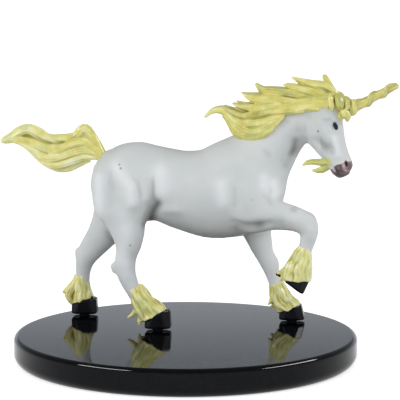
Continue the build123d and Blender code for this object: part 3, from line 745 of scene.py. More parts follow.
def hair_paint():
    """Glossy straw yellow paint, with olive painted shade in the grooves and pale painted highlights on the
    ridges.
    """
    made, tree, shader = material("hair_paint")
    streak = maths(tree, "MULTIPLY_ADD", attribute(tree, "tone"), 0.34, 0.33)
    # Painted shade: olive in the grooves
    groove = level(tree, attribute(tree, "depth"), (0.04, 0), (0.36, 0.95))
    colour = mixed(tree, groove, hair_colour(tree, streak), HAIR_OLIVE)
    # Painted highlights: pale yellow on the ridges
    ridge = maths(tree, "MULTIPLY", attribute(tree, "depth"), -1.0)
    ridge = maths(tree, "MULTIPLY_ADD", noise(tree, 700.0, 2.0), 0.8, ridge)
    ridge = level(tree, ridge, (0.66, 0), (1.0, 0.4))
    colour = mixed(tree, ridge, colour, HAIR_PALE)
    tree.links.new(colour, shader.inputs["Base Color"])
    shader.inputs["Roughness"].default_value = 0.18
    shader.inputs["IOR"].default_value = 1.6
    relief(tree, shader, noise(tree, 2400.0, 2.0), strength=0.12, distance=0.0001)
    return made


# How much paler the dust on the black is, and how much duller the rubbed spots
DUST_PALER = 2.2
RUBBED_DULLER = 0.05


def black_paint(name, colour, roughness, index):
    """Gloss black, with faint dust and rubbed spots that dull the shine."""
    made, tree, shader = material(name)
    dust = noise(tree, 900.0, 5.0)
    tone = ramp(tree, dust, [(0.35, colour), (0.75, tuple(DUST_PALER * c for c in colour))])
    tree.links.new(tone, shader.inputs["Base Color"])
    dull = node(tree, "MapRange", From_Min=0.4, From_Max=0.8, To_Min=roughness,
                To_Max=roughness + RUBBED_DULLER)
    tree.links.new(dust, dull.inputs["Value"])
    tree.links.new(dull.outputs[0], shader.inputs["Roughness"])
    shader.inputs["IOR"].default_value = index
    return made


WHITE = white_paint()
HAIR = hair_paint()
HOOF_BLACK = black_paint("hoof_paint", (0.004, 0.004, 0.0055), roughness=0.22, index=1.22)
BASE_BLACK = black_paint("base_plastic", (0.0018, 0.0021, 0.003), roughness=0.04, index=1.2)
EYE_BLACK = black_paint("eye_paint", (0.004, 0.004, 0.004), roughness=0.1, index=1.35)
body_pieces(WHITE)


def cast(name, clay, paint, slot, *nodes):
    """A finished piece from its own block of clay."""
    points, faces, normals = clay.skin()
    masks = {"depth": clay.depth(points, HOLLOW_REACH), "tone": clay.at(points, clay.tone)}
    piece = mesh_object(name, points, list(faces), normals, masks)
    settle(piece, paint, slot, *nodes)


def strands(number, coarse=4, fine=9, height=0.12, pale=0.0):
    """The ridges and the paint streaks of a lock's strands, different for each lock."""
    start = (1.7 * number + np.array((0.0, 2.1, 4.4, 1.3, 5.2))) % (2 * math.pi)
    own = pale + 0.3 * math.sin(4.1 * number + 0.6)

    def at(angle, run):
        broad = np.cos(coarse * angle + start[0] + 0.6 * np.sin(0.9 * run + start[1]))
        narrow = np.cos(fine * angle + start[2] + 0.8 * np.sin(0.7 * run + start[3]))
        hairs = np.cos(15 * angle + start[4] + 1.3 * np.sin(0.8 * run + start[0]))
        ridge = height * (0.6 * broad + 0.4 * narrow)
        drift = np.sin(1.3 * run + start[2]) * np.cos(2 * angle + start[1])
        return ridge, own + 0.2 * narrow + 0.15 * hairs + 0.4 * drift

    return at


def tufted(number, height, pale):
    """The same for hair that sticks together in uneven tufts."""
    start = (1.9 * number + np.array((0.4, 2.6, 4.9, 1.1))) % (2 * math.pi)

    def at(angle, run):
        broad = np.cos(4 * angle + start[0] + 1.4 * np.sin(1.3 * run + start[1]))
        narrow = np.cos(7 * angle + start[2] + 2.1 * np.sin(1.1 * run + start[3]))
        hairs = np.cos(13 * angle + start[1] + 1.6 * np.sin(1.9 * run + start[2]))
        breaks = np.sin(2.4 * run + 2 * angle + start[3]) * np.cos(3 * angle - 1.1 * run + start[0])
        fine = np.cos(21 * angle + start[0] + 2.2 * np.sin(1.5 * run + start[3]))
        ridge = height * (0.4 * broad + 0.35 * narrow + 0.25 * hairs + 0.15 * fine + 0.3 * breaks)
        return ridge, pale + 0.2 * narrow + 0.35 * hairs + 0.3 * fine + 0.35 * breaks

    return at


def lock(clay, guide, number, blend=0.4, height=0.1, pale=0.0):
    """A lock of hair, drawn to a tip."""
    rings = flow(guide, 0.5)
    grown = eased(np.linspace(0, 1, len(rings)), -0.2, 0.14)
    rings[:, 3:] = np.maximum(rings[:, 3:] * grown[:, None], THINNEST)
    clay.add(rings, blend, SIDEWAYS, 1.0, strands(number, height=height, pale=pale))


def mirrored(guide, shift):
    """A lock of the other side, a little out of step with its fellow."""
    guide = ringed(guide)
    guide[:, 1] *= -1
    guide[:, 0] += shift * np.linspace(0, 1, len(guide))
    return guide


# Locks: x, y, z of the guide, half width across and half depth, which is left out where it is the same
MANE_CORE = [
    [(21, 0, 33.9, 1.0, 0.7), (18.6, 0, 34.8, 0.9, 0.8), (16.2, 0, 35.5, 0.4)],
    [(20.2, 0, 33.2, 1.6, 1.0), (16.8, 0, 34.0, 1.3, 1.0), (12.8, 0, 34.4, 0.6, 0.5)],
    [(19, 0, 32.6, 1.9, 0.9), (13.3, 0, 32.9, 1.4, 1.1), (9.6, 0, 33.2, 0.5, 0.4)],
    [(15.6, 0, 31.2, 1.9, 1.3), (10.8, 0, 31.3, 1.5, 1.2), (6.6, 0, 31.3, 0.6, 0.5)],
    [(13.6, 0, 30, 2.2, 1.4), (10, 0, 29.4, 1.9, 1.3), (7.6, 0, 29.9, 1.2, 1.0), (6.2, 0, 31.0, 0.6)],
]
MANE = [
    [(21.76, -0.9, 33.63, 0.43, 0.51), (20.01, -0.84, 34.33, 0.5, 0.58), (18.25, -0.78, 34.89, 0.5, 0.58),
     (16.5, -0.72, 35.3, 0.43, 0.51), (15.33, -0.66, 35.64, 0.31, 0.36), (14.3, -0.6, 35.92, 0.1, 0.12)],
    [(21.51, -1.5, 33.27, 0.43, 0.51), (19.46, -1.37, 33.81, 0.5, 0.58), (17.12, -1.24, 34.35, 0.5, 0.58),
     (14.78, -1.11, 34.74, 0.5, 0.58), (12.73, -0.99, 34.85, 0.52, 0.61), (11.56, -0.86, 34.89, 0.5, 0.58),
     (10.81, -0.73, 35.38, 0.31, 0.36), (10.26, -0.6, 35.97, 0.1, 0.12)],
    [(20.82, -2.1, 32.9, 0.37, 0.44), (18.34, -1.96, 33.14, 0.43, 0.51), (15.71, -1.81, 33.52, 0.5, 0.58),
     (13.08, -1.67, 33.84, 0.52, 0.61), (11.03, -1.53, 33.87, 0.52, 0.61), (9.7, -1.39, 33.98, 0.42, 0.5),
     (8.96, -1.24, 34.25, 0.25, 0.29), (8.51, -1.1, 34.52, 0.1, 0.12)],
    [(19.68, -2.4, 32.48, 0.31, 0.36), (16.91, -2.22, 32.64, 0.37, 0.44), (13.98, -2.03, 32.8, 0.43, 0.51),
     (11.35, -1.85, 32.74, 0.45, 0.52), (9.29, -1.67, 32.62, 0.37, 0.44), (7.96, -1.48, 32.8, 0.25, 0.29),
     (6.92, -1.3, 33.2, 0.1, 0.12)],
    [(17.37, -2.6, 32.19, 0.25, 0.29), (14.89, -2.43, 32.06, 0.32, 0.38), (12.26, -2.26, 31.93, 0.4, 0.47),
     (10.21, -2.09, 31.66, 0.42, 0.5), (8.73, -1.91, 31.4, 0.4, 0.47), (7.55, -1.74, 31.65, 0.35, 0.41),
     (6.51, -1.57, 32.13, 0.25, 0.29), (5.76, -1.4, 32.5, 0.12, 0.15)],
    [(14.62, -2.7, 31.43, 0.25, 0.29), (12.57, -2.4, 30.94, 0.4, 0.47), (10.66, -2.05, 30.44, 0.47, 0.55),
     (8.89, -1.65, 30.32, 0.5, 0.58), (7.56, -1.3, 30.86, 0.5, 0.58), (6.22, -0.95, 31.8, 0.52, 0.61),
     (4.81, -0.7, 32.05, 0.41, 0.48), (3.7, -0.5, 31.61, 0.25, 0.29), (2.94, -0.35, 30.86, 0.1, 0.12)],
    [(14.34, -2.8, 31.15, 0.25, 0.29), (12.73, -2.55, 30.08, 0.43, 0.51), (10.82, -2.2, 29.22, 0.52, 0.61),
     (9.06, -1.8, 29.1, 0.57, 0.67), (7.73, -1.4, 29.79, 0.57, 0.67), (6.69, -1.05, 30.78, 0.5, 0.58),
     (5.79, -0.8, 31.55, 0.31, 0.36), (5.04, -0.6, 31.81, 0.12, 0.15)],
    [(13.04, -2.9, 29.61, 0.25, 0.29), (11.58, -2.65, 28.68, 0.37, 0.44), (9.81, -2.3, 28.27, 0.42, 0.5),
     (8.34, -1.85, 28.44, 0.45, 0.52), (7.3, -1.45, 29.06, 0.42, 0.5), (6.48, -1.1, 30.13, 0.27, 0.32),
     (5.8, -0.85, 30.98, 0.12, 0.15)],
    [(21.67, -1.75, 33.46, 0.38, 0.42), (20.67, -2.05, 33.33, 0.45), (19.37, -2.2, 33.24, 0.45),
     (17.78, -2.25, 32.9, 0.44), (16.04, -2.35, 32.49, 0.42, 0.44), (14.01, -2.4, 32.26, 0.35, 0.36),
     (11.98, -2.4, 32.09, 0.2)],
    [(21.8, -1.5, 34.16, 0.38, 0.42), (20.51, -1.8, 34.09, 0.45), (18.92, -2.0, 33.95, 0.45),
     (16.89, -2.1, 33.61, 0.44), (14.86, -2.1, 33.18, 0.36), (12.82, -2.1, 32.94, 0.2)],
]
MANE_TOP = [(22.3, 0.1, 34.3, 0.45, 0.5), (21.3, 0.2, 35.1, 0.6), (20.4, 0.2, 35.7, 0.65, 0.64),
            (19.2, 0.2, 35.84, 0.65, 0.64), (17.89, 0.2, 36.08, 0.57), (16.58, 0.2, 36.46, 0.4),
            (15.55, 0.2, 36.92, 0.13)]
MANE_MIDDLE = [
    [(16.5, -0.3, 33.7, 0.7, 0.6), (13.5, -0.3, 33.8, 0.7, 0.6), (11.2, -0.2, 33.9, 0.55, 0.5),
     (9.8, -0.1, 34.1, 0.3), (9.2, 0.0, 34.3, 0.12)],
    [(15.5, 1.1, 32.3, 0.8, 0.7), (12.5, 1.0, 32.4, 0.8, 0.7), (10.0, 0.8, 32.4, 0.7, 0.6),
     (8.2, 0.6, 32.6, 0.45, 0.4), (7.0, 0.4, 33.0, 0.12)],
    [(15.5, -0.8, 32.3, 0.8, 0.7), (12.5, -0.7, 32.2, 0.8, 0.7), (10.0, -0.6, 32.0, 0.7, 0.65),
     (8.3, -0.5, 32.0, 0.5, 0.45), (7.2, -0.4, 32.4, 0.15)],
    [(14.0, 0.9, 30.8, 0.9, 0.8), (11.5, 0.9, 30.6, 0.9, 0.75), (9.0, 0.7, 30.9, 0.75, 0.65),
     (7.2, 0.5, 31.5, 0.5), (6.0, 0.3, 32.0, 0.15)],
    [(14.0, -0.7, 30.7, 0.9, 0.8), (11.5, -0.7, 30.3, 0.9, 0.75), (9.0, -0.6, 30.4, 0.75, 0.65),
     (7.3, -0.4, 31.0, 0.5, 0.45), (6.2, -0.3, 31.7, 0.15)],
]
TAIL_CORE = [(-11.9, 0, 23.8, 0.8), (-12.9, 0, 25.4, 0.9, 0.8), (-14.3, 0, 26.5, 0.8, 1.1),
             (-16.2, 0, 26.0, 0.9, 1.6), (-18.4, 0, 25.3, 0.9, 1.7), (-20.4, 0, 25.8, 0.8, 1.4),
             (-22.6, 0, 27.1, 0.6, 1.0), (-25.0, 0, 27.4, 0.4)]
TAIL_ARCH = [(-12.5, 0, 25.0, 0.8, 0.9), (-13.3, 0, 26.6, 0.8, 0.9), (-14.5, 0, 27.7, 0.8, 1.0),
             (-15.9, 0, 27.3, 0.8, 0.9), (-17.6, 0, 26.5, 0.8), (-19.4, 0, 26.4, 0.7)]
TAIL_MIDDLE = [
    [(-18.86, -0.2, 26.96, 0.44), (-20.64, -0.18, 27.6, 0.7), (-21.97, -0.17, 28.32, 0.85, 0.87),
     (-23.31, -0.15, 28.74, 0.84), (-24.66, -0.13, 28.28, 0.8), (-25.86, -0.12, 27.5, 0.7),
     (-26.8, -0.1, 27.1, 0.55), (-27.25, -0.1, 26.9, 0.3)],
    [(-12.75, 0, 25.4, 0.45), (-13.35, -0.04, 26.9, 0.5), (-13.95, -0.07, 28.3, 0.62),
     (-14.85, -0.1, 29.0, 0.76), (-15.65, -0.13, 28.55, 0.7), (-16.4, -0.16, 27.85, 0.58),
     (-17.67, -0.19, 27.6, 0.6), (-18.86, -0.22, 27.55, 0.56), (-20.05, -0.25, 27.65, 0.46),
     (-21.2, -0.28, 27.9, 0.25)],
    [(-14.14, -0.1, 24.19, 0.29), (-15.77, -0.12, 23.64, 0.41), (-17.26, -0.14, 23.03, 0.47),
     (-18.75, -0.16, 22.86, 0.41), (-20.08, -0.18, 23.3, 0.4), (-21.3, -0.2, 24.1, 0.4),
     (-22.5, -0.2, 25.2, 0.35), (-23.6, -0.2, 26.2, 0.2)],
]
TAIL_SIDE = [
    [(-17.29, -0.8, 26.32, 0.37, 0.44), (-19.23, -0.73, 25.99, 0.5, 0.58),
     (-20.73, -0.67, 26.18, 0.54, 0.64), (-22.07, -0.6, 26.74, 0.54, 0.64),
     (-23.41, -0.53, 27.09, 0.5, 0.58), (-24.76, -0.47, 27.24, 0.43, 0.51),
     (-26.11, -0.4, 27.11, 0.31, 0.36)],
    [(-18.18, -0.9, 24.99, 0.37, 0.44), (-19.97, -0.8, 24.8, 0.47, 0.55),
     (-21.32, -0.7, 25.13, 0.47, 0.55), (-22.52, -0.6, 25.77, 0.43, 0.51),
     (-23.72, -0.5, 26.48, 0.37, 0.44), (-24.92, -0.4, 26.93, 0.25, 0.29)],
    [(-12.88, -0.6, 25.91, 0.31, 0.36), (-13.9, -0.67, 26.5, 0.45, 0.52),
     (-15.08, -0.73, 27.01, 0.5, 0.58), (-16.25, -0.8, 26.93, 0.5, 0.58),
     (-17.43, -0.87, 26.48, 0.47, 0.55), (-18.61, -0.93, 25.8, 0.4, 0.47),
     (-19.94, -1, 25.35, 0.19, 0.22)],
    [(-13.18, -0.6, 25.31, 0.31, 0.36), (-14.5, -0.67, 25.75, 0.45, 0.52),
     (-15.82, -0.73, 25.74, 0.5, 0.58), (-17.15, -0.8, 25.28, 0.5, 0.58),
     (-18.63, -0.87, 24.75, 0.47, 0.55), (-20.11, -0.93, 24.44, 0.4, 0.47),
     (-21.28, -1, 24.66, 0.19, 0.22)],
    [(-13.34, -0.5, 24.7, 0.31, 0.36), (-14.67, -0.55, 24.76, 0.42, 0.5), (-16, -0.6, 24.45, 0.5, 0.58),
     (-17.48, -0.65, 23.92, 0.5, 0.58), (-18.96, -0.7, 23.53, 0.47, 0.55),
     (-20.29, -0.75, 23.67, 0.4, 0.47), (-21.17, -0.8, 24.11, 0.15, 0.17)],
]
FORELOCK_CORE = [(21.2, -0.5, 33.5, 1.4, 0.6), (22.5, -0.6, 32.9, 1.3, 0.7), (23.6, -0.8, 32.4, 0.8, 0.7),
                 (24.7, -0.9, 32.6, 0.7, 0.55)]
FORELOCK_TOP = [(20.46, -1.0, 34.5, 0.5, 0.38), (21.77, -1.1, 34.45, 0.5, 0.38),
                (23.08, -1.1, 34.0, 0.5, 0.38), (24.5, -1.2, 33.55, 0.4, 0.3)]
FORELOCK = [
    [(21.3, -1.9, 34.7, 0.32), (21.32, -2.2, 33.94, 0.43), (21.48, -2.3, 33.08, 0.42),
     (21.48, -2.2, 32.33, 0.17)],
    [(22.22, -1.5, 34.74, 0.38), (22.54, -1.9, 34.06, 0.64), (22.77, -2.0, 33.2, 0.64),
     (22.83, -1.8, 32.44, 0.32)],
    [(22.81, -1.5, 32.92, 0.38), (23.24, -1.7, 32.36, 0.64), (23.63, -1.7, 31.74, 0.68),
     (23.77, -1.5, 31.13, 0.43), (23.74, -1.4, 30.79, 0.22)],
    [(23.31, -1.5, 34.09, 0.29), (23.74, -1.8, 33.55, 0.39), (23.78, -2.0, 32.92, 0.39),
     (23.5, -2.0, 32.41, 0.23)],
    [(24.03, -1.3, 33.71, 0.29), (24.26, -1.5, 33.01, 0.38), (24.2, -1.5, 32.35, 0.32),
     (24.05, -1.4, 31.97, 0.17)],
    [(24.61, -1.4, 33.95, 0.32), (24.85, -1.7, 33.26, 0.45), (24.86, -1.7, 32.53, 0.39),
     (24.56, -1.5, 31.92, 0.19)],
]
BEARD = [
    [(21.5, -0.6, 24.7, 0.6, 0.64), (20.9, -0.7, 24.67, 0.6, 0.62), (19.78, -0.7, 24.59, 0.45, 0.5),
     (18.76, -0.7, 24.63, 0.38, 0.43), (17.88, -0.7, 24.5, 0.28, 0.34), (17.25, -0.7, 24.1, 0.12, 0.14)],
    [(21.5, -0.5, 24.2, 0.5), (20.9, -0.6, 24.0, 0.5, 0.54), (20.08, -0.6, 23.5, 0.45, 0.54),
     (19.35, -0.6, 23.33, 0.3, 0.37), (18.62, -0.6, 23.34, 0.12, 0.14)],
]

# The number of a lock sets its strands, and each lock of a piece has its own
mane = Clay((2.0, -4.2, 26.6), (24.0, 4.2, 38.2), HAIR_STEP)
for number, guide in enumerate(MANE_CORE):
    lock(mane, guide, number + 60, blend=0.3, height=0.16)
for number, guide in enumerate(MANE):
    lock(mane, guide, number)
    lock(mane, mirrored(guide, 0.5 * math.sin(2.3 * number + 0.7)), number + 20)
for number, guide in enumerate(MANE_MIDDLE):
    lock(mane, guide, number + 50, blend=0.15)
lock(mane, MANE_TOP, 40)
cast("mane_locks", mane, HAIR, "hair_paint", "mane")

tail = Clay((-28.2, -2.6, 21.8), (-11.0, 2.6, 30.6), HAIR_STEP)
tail.add(TAIL_CORE, blend=0.3)
tail.add(TAIL_ARCH, blend=0.3)
for number, guide in enumerate(TAIL_MIDDLE):
    lock(tail, guide, number, pale=0.55)
for number, guide in enumerate(TAIL_SIDE):
    lock(tail, guide, number + 10, pale=0.5)
    lock(tail, mirrored(guide, 0.3 * math.sin(1.9 * number)), number + 20, pale=0.5)
cast("tail_locks", tail, HAIR, "hair_paint", "tail")

# The first locks of the forelock have a fellow on the far side of its middle
FORELOCK_FELLOWS = 4
FORELOCK_MIDDLE = -0.45
forelock = Clay((20.0, -3.4, 30.2), (26.2, 2.8, 36.0), FINE_STEP)
forelock.add(FORELOCK_CORE, blend=0.3)
lock(forelock, FORELOCK_TOP, 30, blend=0.06)
for number, guide in enumerate(FORELOCK):
    lock(forelock, guide, number, blend=0.06, height=0.05)
    if number < FORELOCK_FELLOWS:
        far = ringed(guide)
        far[:, 1] = 2 * FORELOCK_MIDDLE - far[:, 1]
        lock(forelock, far, number + 10, blend=0.06, height=0.05)
cast("forelock_locks", forelock, HAIR, "hair_paint", "forelock")

beard = Clay((16.4, -1.8, 22.2), (22.4, 1.2, 26.2), FINE_STEP)
for number, guide in enumerate(BEARD):
    lock(beard, guide, number, blend=0.06)
cast("beard_locks", beard, HAIR, "hair_paint", "beard")

# Hooves: the middle of each sole, how far the toe points down, in degrees, the height and slope of the
# line where the hair ends, the height of the hoof in front and how far its front leans back
HOOVES = {"left_fore": ((15.4, 4.1, 0.3), 0.0, 1.7, 0.355, 2.35, 0.25),
          "right_hind": ((-3.68, -4.4, 0.3), 0.0, 2.1, 0.53, 2.8, 0.05),
          "left_hind": ((-15.9, 5.8, 0.3), 0.0, 2.05, 0.37, 2.35, 0.04),
          "right_fore": ((15.95, -2.9, 6.6), 36.0, 1.02, 0.68, 2.5, 0.2)}
# Facets of a hoof: the way each faces, its distance from the middle and its slope
HOOF_FACETS = ((0, 2.0, 0), (48, 2.1, 0.1), (90, 1.7, 0), (132, 2.08, 0.2), (180, 1.85, 0),
               (228, 2.08, 0.2), (270, 1.7, 0), (312, 2.1, 0.1))
# Roundness of a hoof's edges between the facets, in front and round the sole, and how far it reaches under
# the hair
FACET_EDGE = 0.14
FRONT_EDGE = 0.3
SOLE_EDGE = 0.4
UNDER_HAIR = 0.15
# Pegs: half width, and their ends above and below the sole
PEG_RADIUS = 0.8
PEG_ENDS = (0.6, -0.9)
# The black heel of the raised hoof, under its tuft of hair
RAISED_HEEL = [(15.2, -2.9, 7.3, 0.5, 0.3), (14.4, -2.9, 7.95, 0.4, 0.22), (13.6, -2.9, 8.3, 0.22, 0.16)]


def hoof_axes(name, x, y, z):
    """Places measured from the middle of a hoof's sole: ahead, across and up."""
    sole, pitch = HOOVES[name][:2]
    tip = math.radians(pitch)
    x, y, z = x - sole[0], y - sole[1], z - sole[2]
    return x * math.cos(tip) - z * math.sin(tip), y, x * math.sin(tip) + z * math.cos(tip)


def hoof(name):
    """A hoof with flat facets and softly broken edges, on its peg where it stands."""
    sole, pitch, height, slope, top, lean = HOOVES[name]
    sole = np.array(sole)
    clay = Clay(sole - (3.4, 2.4, 1.8 if pitch else 0.5), sole + (3.4, 2.4, 3.6), FINE_STEP)
    ahead, across, up = hoof_axes(name, *clay.axes())
    wall = np.full(clay.size, -FAR)
    for facing, reach, bevel in HOOF_FACETS:
        a = math.radians(facing)
        leaning = (bevel + lean * max(math.cos(a), 0.1)) * up
        side = ahead * math.cos(a) + across * math.sin(a) - reach + leaning
        wall = -melted(-wall, -side, FACET_EDGE)
    crown = (up - height - slope * ahead - UNDER_HAIR) / math.hypot(1, slope)
    wall = -melted(-wall, -crown, FACET_EDGE)
    wall = -melted(-wall, top - up, FRONT_EDGE)
    clay.field = (-melted(-wall, up, SOLE_EDGE)).astype(np.float32)
    if pitch:
        tip = math.radians(pitch)
        clay.swell([sole + (-0.6 * math.cos(tip), 0, 0.6 * math.sin(tip)), sole], amount=-0.25, width=0.7)
        clay.add(RAISED_HEEL, blend=0.2)
    else:
        peg = [(*(sole + (0, 0, lift)), PEG_RADIUS) for lift in PEG_ENDS]
        clay.add(peg, blend=0.05)
    cast(name + "_hoof_shell", clay, HOOF_BLACK, "hoof_paint", name + "_hoof")


for name in HOOVES:
    hoof(name)

# Feathers: oval rings down the pastern, and the tufts behind it
FEATHERS = {
    "right_fore": (
        [(17.84, -2.9, 12.16, 0.95, 1.0), (17.36, -2.9, 10.97, 1.3, 1.5), (17, -2.9, 9.56, 1.55, 1.9),
         (16.57, -2.9, 8.06, 1.65, 2.2), (16.1, -2.9, 5.8, 1.65, 2.2)],
        [[(15.9, -2.9, 9.3, 0.95), (15.0, -2.9, 8.85, 0.6, 0.65), (14.3, -2.9, 8.55, 0.36, 0.4),
          (13.65, -2.9, 8.3, 0.14)]]),
    "left_fore": (
        [(13.13, 3.6, 5.6, 1.0, 1.1), (13.52, 3.77, 4.33, 1.3, 1.45), (14.03, 3.93, 3.06, 1.6, 1.7),
         (15.11, 4.1, 1.8, 1.7, 1.75), (15.6, 4.1, 0.5, 1.7, 1.75)],
        [[(12.62, 3.5, 3.43, 0.44), (12.25, 3.4, 2.89, 0.29), (11.96, 3.3, 2.54, 0.12)],
         [(13.22, 4.1, 2.69, 0.44), (12.55, 4.2, 2.22, 0.26), (12.18, 4.3, 2.06, 0.12)]]),
    "right_hind": (
        [(-6.85, -4.3, 5.95, 1.1, 1.3), (-6.15, -4.33, 4.56, 1.4, 1.55), (-5.45, -4.37, 3.35, 1.7, 1.8),
         (-4.3, -4.4, 2.15, 1.75, 2.2), (-3.7, -4.4, 0.6, 1.75, 2.2)],
        [[(-6.74, -4.2, 2.84, 0.47), (-7.48, -4.1, 2, 0.32), (-8.15, -4.1, 1.61, 0.12)],
         [(-6, -4.9, 2.1, 0.47), (-6.3, -4.9, 1.2, 0.32), (-6.3, -4.9, 0.6, 0.12)]]),
    "left_hind": (
        [(-16.39, 5.4, 5.9, 0.95, 1.05), (-16.3, 5.53, 4.54, 1.25, 1.33), (-16.29, 5.67, 3.37, 1.5, 1.55),
         (-16.05, 5.8, 2.05, 1.65), (-15.8, 5.8, 0.5, 1.65)],
        [[(-17.0, 5.4, 5.2, 0.7, 0.6), (-17.5, 5.4, 4.3, 0.95, 0.75), (-17.95, 5.4, 3.5, 1.0, 0.85),
          (-18.0, 5.4, 2.75, 0.8, 0.7), (-17.6, 5.4, 2.0, 0.5), (-17.2, 5.4, 1.5, 0.25)],
         [(-17.6, 5.3, 4.2, 0.5), (-18.4, 5.2, 3.85, 0.45, 0.42), (-19.05, 5.2, 3.5, 0.2)],
         [(-17.6, 5.9, 3.4, 0.5), (-18.3, 5.9, 2.85, 0.42), (-18.65, 5.9, 2.5, 0.2)]]),
}

# Room round the rings and round the tips of the tufts, the lowest hair, and the roundness of its edge
CUFF_ROOM = 2.9
TUFT_ROOM = 0.8
FEATHER_FLOOR = 0.15
CUFF_EDGE = 0.12


def feather(name, cuff, tufts, number):
    """Hair round the pastern that ends in a line on the hoof, with tufts behind."""
    cuff = ringed(cuff)
    ends = np.array([tuft[-1][:3] for tuft in tufts])
    low = np.minimum(cuff[:, :3].min(0) - CUFF_ROOM, ends.min(0) - TUFT_ROOM)
    high = np.maximum(cuff[:, :3].max(0) + CUFF_ROOM, ends.max(0) + TUFT_ROOM)
    low[2] = max(low[2], FEATHER_FLOOR)
    clay = Clay(low, high, HAIR_STEP)
    clay.add(cuff, blend=0.1, spacing=0.7, strands=tufted(number, height=0.09, pale=0.5))
    x, y, z = clay.axes()
    lumps = np.sin(3.1 * x + number) * np.sin(3.4 * y + 2 * number) + np.sin(2.9 * z + 2.3 * x + number)
    clay.field -= 0.025 * lumps
    clay.tone += 0.2 * lumps
    ahead, across, up = hoof_axes(name, x, y, z)
    height, slope = HOOVES[name][2:4]
    around = np.arctan2(across, ahead)
    wave = 0.09 * np.sin(5.0 * around + number) + 0.06 * np.sin(11.0 * around)
    below = (height + slope * ahead + wave - up) / math.hypot(1, slope)
    clay.field = -melted(-clay.field, -below, CUFF_EDGE).astype(np.float32)
    for order, tuft in enumerate(tufts):
        clay.add(tuft, blend=0.15, spacing=0.5, strands=tufted(number + order, height=0.16, pale=0.45))
    cast(name + "_feather_locks", clay, HAIR, "hair_paint", name + "_feather")


for number, (name, (cuff, tufts)) in enumerate(FEATHERS.items()):
    feather(name, cuff, tufts, number)

# Horn: a thick strand wound round a core, with a blunt tip
HORN_FOOT = np.array((3.0, 0.0, 31.15))
HORN_RISE = math.radians(29.0)
HORN_LENGTH = 10.3
HORN_PITCH = 2.65
HORN_START = 4.0
# Core and strand: how far off the axis and how thick, at full width
HORN_COILS = ((0.0, 0.7), (0.44, 0.54))


def horn_twist():
    """The core and the strand, which narrow towards the tip."""
    along = np.array((math.cos(HORN_RISE), 0.0, math.sin(HORN_RISE)))
    upwards = np.array((-math.sin(HORN_RISE), 0.0, math.cos(HORN_RISE)))
    clay = Clay((20.6, -3.4, 30.4), (32.0, 1.2, 37.4), FINE_STEP)
    t = np.linspace(0, 1, 80)
    narrowing = 1.16 - 0.4 * t - 0.12 * np.clip((t - 0.85) / 0.15, 0, 1) ** 2
    angle = 2 * math.pi * (HORN_LENGTH * t - HORN_START) / HORN_PITCH
    for off, thick in HORN_COILS:
        place = (HORN_FOOT + np.outer(HORN_LENGTH * t, along)
                 + np.outer(off * narrowing * np.cos(angle), upwards)
                 + np.outer(off * narrowing * np.sin(angle), (0, 1, 0)))
        rings = np.column_stack((place, thick * narrowing, thick * narrowing))
        ridges = strands(7, coarse=2, fine=6, height=0.03)
        clay.add(on_head(rings), 0.25, HEAD_SIDEWAYS, 0.3, ridges)
    cast("horn_twist", clay, HAIR, "horn_paint", "horn")


horn_twist()

# Eyes: small glossy beads in the sockets
EYE = np.array((3.42, 1.62, 30.15))
# Rings of a bead: height above its middle and half width
BEAD = ((0.5, 0.12), (0.4, 0.22), (0.2, 0.29), (0.0, 0.31), (-0.2, 0.29), (-0.4, 0.22), (-0.5, 0.12))


def eye_bead(name, side):
    """A tilted oval bead."""
    centre = EYE * (1, side, 1)
    rings = [(*(centre + (-0.4 * t, 0.1 * t * side, t)), 0.9 * r, r) for t, r in BEAD]
    middle = on_head([(*centre, 0, 0)])[0, :3]
    clay = Clay(middle - 1.0, middle + 1.0, EYE_STEP)
    clay.add(on_head(rings), 0.05, HEAD_SIDEWAYS, 0.2)
    cast(name, clay, EYE_BLACK, "hoof_paint")


eye_bead("right_eye", -1)
eye_bead("left_eye", 1)

# Base: a turned disc with a small round along its top edge and a larger one along its foot
BASE_RADIUS = 25.0
BASE_HEIGHT = 4.2
BASE_TOP_ROUND = 0.7
BASE_FOOT_ROUND = 1.7
BASE_SIDES = 256
ROUND_STEPS = 13


def base_disc():
    """The disc as rings round its axis."""
    profile = [(0.5, 0.0, 0, -1), (15.0, 0.0, 0, -1)]
    bend = [(math.sin(a), math.cos(a)) for a in np.radians(np.linspace(0, 90, ROUND_STEPS))]
    for s, c in bend:
        profile.append((BASE_RADIUS - BASE_FOOT_ROUND * (1 - s), BASE_FOOT_ROUND * (1 - c), s, -c))
    for s, c in bend:
        profile.append((BASE_RADIUS - BASE_TOP_ROUND * (1 - c), BASE_HEIGHT - BASE_TOP_ROUND * (1 - s), c, s))
    profile += [(r, BASE_HEIGHT, 0, 1) for r in (20.0, 10.0, 0.5)]
    sides = np.arange(BASE_SIDES)
    turn = 2 * math.pi * sides / BASE_SIDES
    points, normals = [], []
    for r, z, out, up in profile:
        points.append(np.column_stack((r * np.cos(turn), r * np.sin(turn), np.full(BASE_SIDES, z))))
        normals.append(np.column_stack((out * np.cos(turn), out * np.sin(turn), np.full(BASE_SIDES, up))))
    faces = []
    for row in range(len(profile) - 1):
        a = row * BASE_SIDES + sides
        b = row * BASE_SIDES + (sides + 1) % BASE_SIDES
        faces += list(np.column_stack((a, b, b + BASE_SIDES, a + BASE_SIDES)))
    faces += [sides[::-1], (len(profile) - 1) * BASE_SIDES + sides]
    points = turned(np.vstack(points) - FIGURE_AT, -FIGURE_YAW)
    normals = np.vstack(normals).astype(float)
    normals = turned(normals / np.linalg.norm(normals, axis=1)[:, None], -FIGURE_YAW)
    piece = mesh_object("base_disc", points, faces, normals, {"depth": np.zeros(len(points))})
    settle(piece, BASE_BLACK, "base_plastic", "base")


base_disc()

# Camera: a long lens a little above the horizon, square to the base
TARGET = Vector((2.10, 0.0, 23.90)) * MM
ELEVATION = math.radians(9.06)
DISTANCE = 450 * MM
SENSOR = 36.0
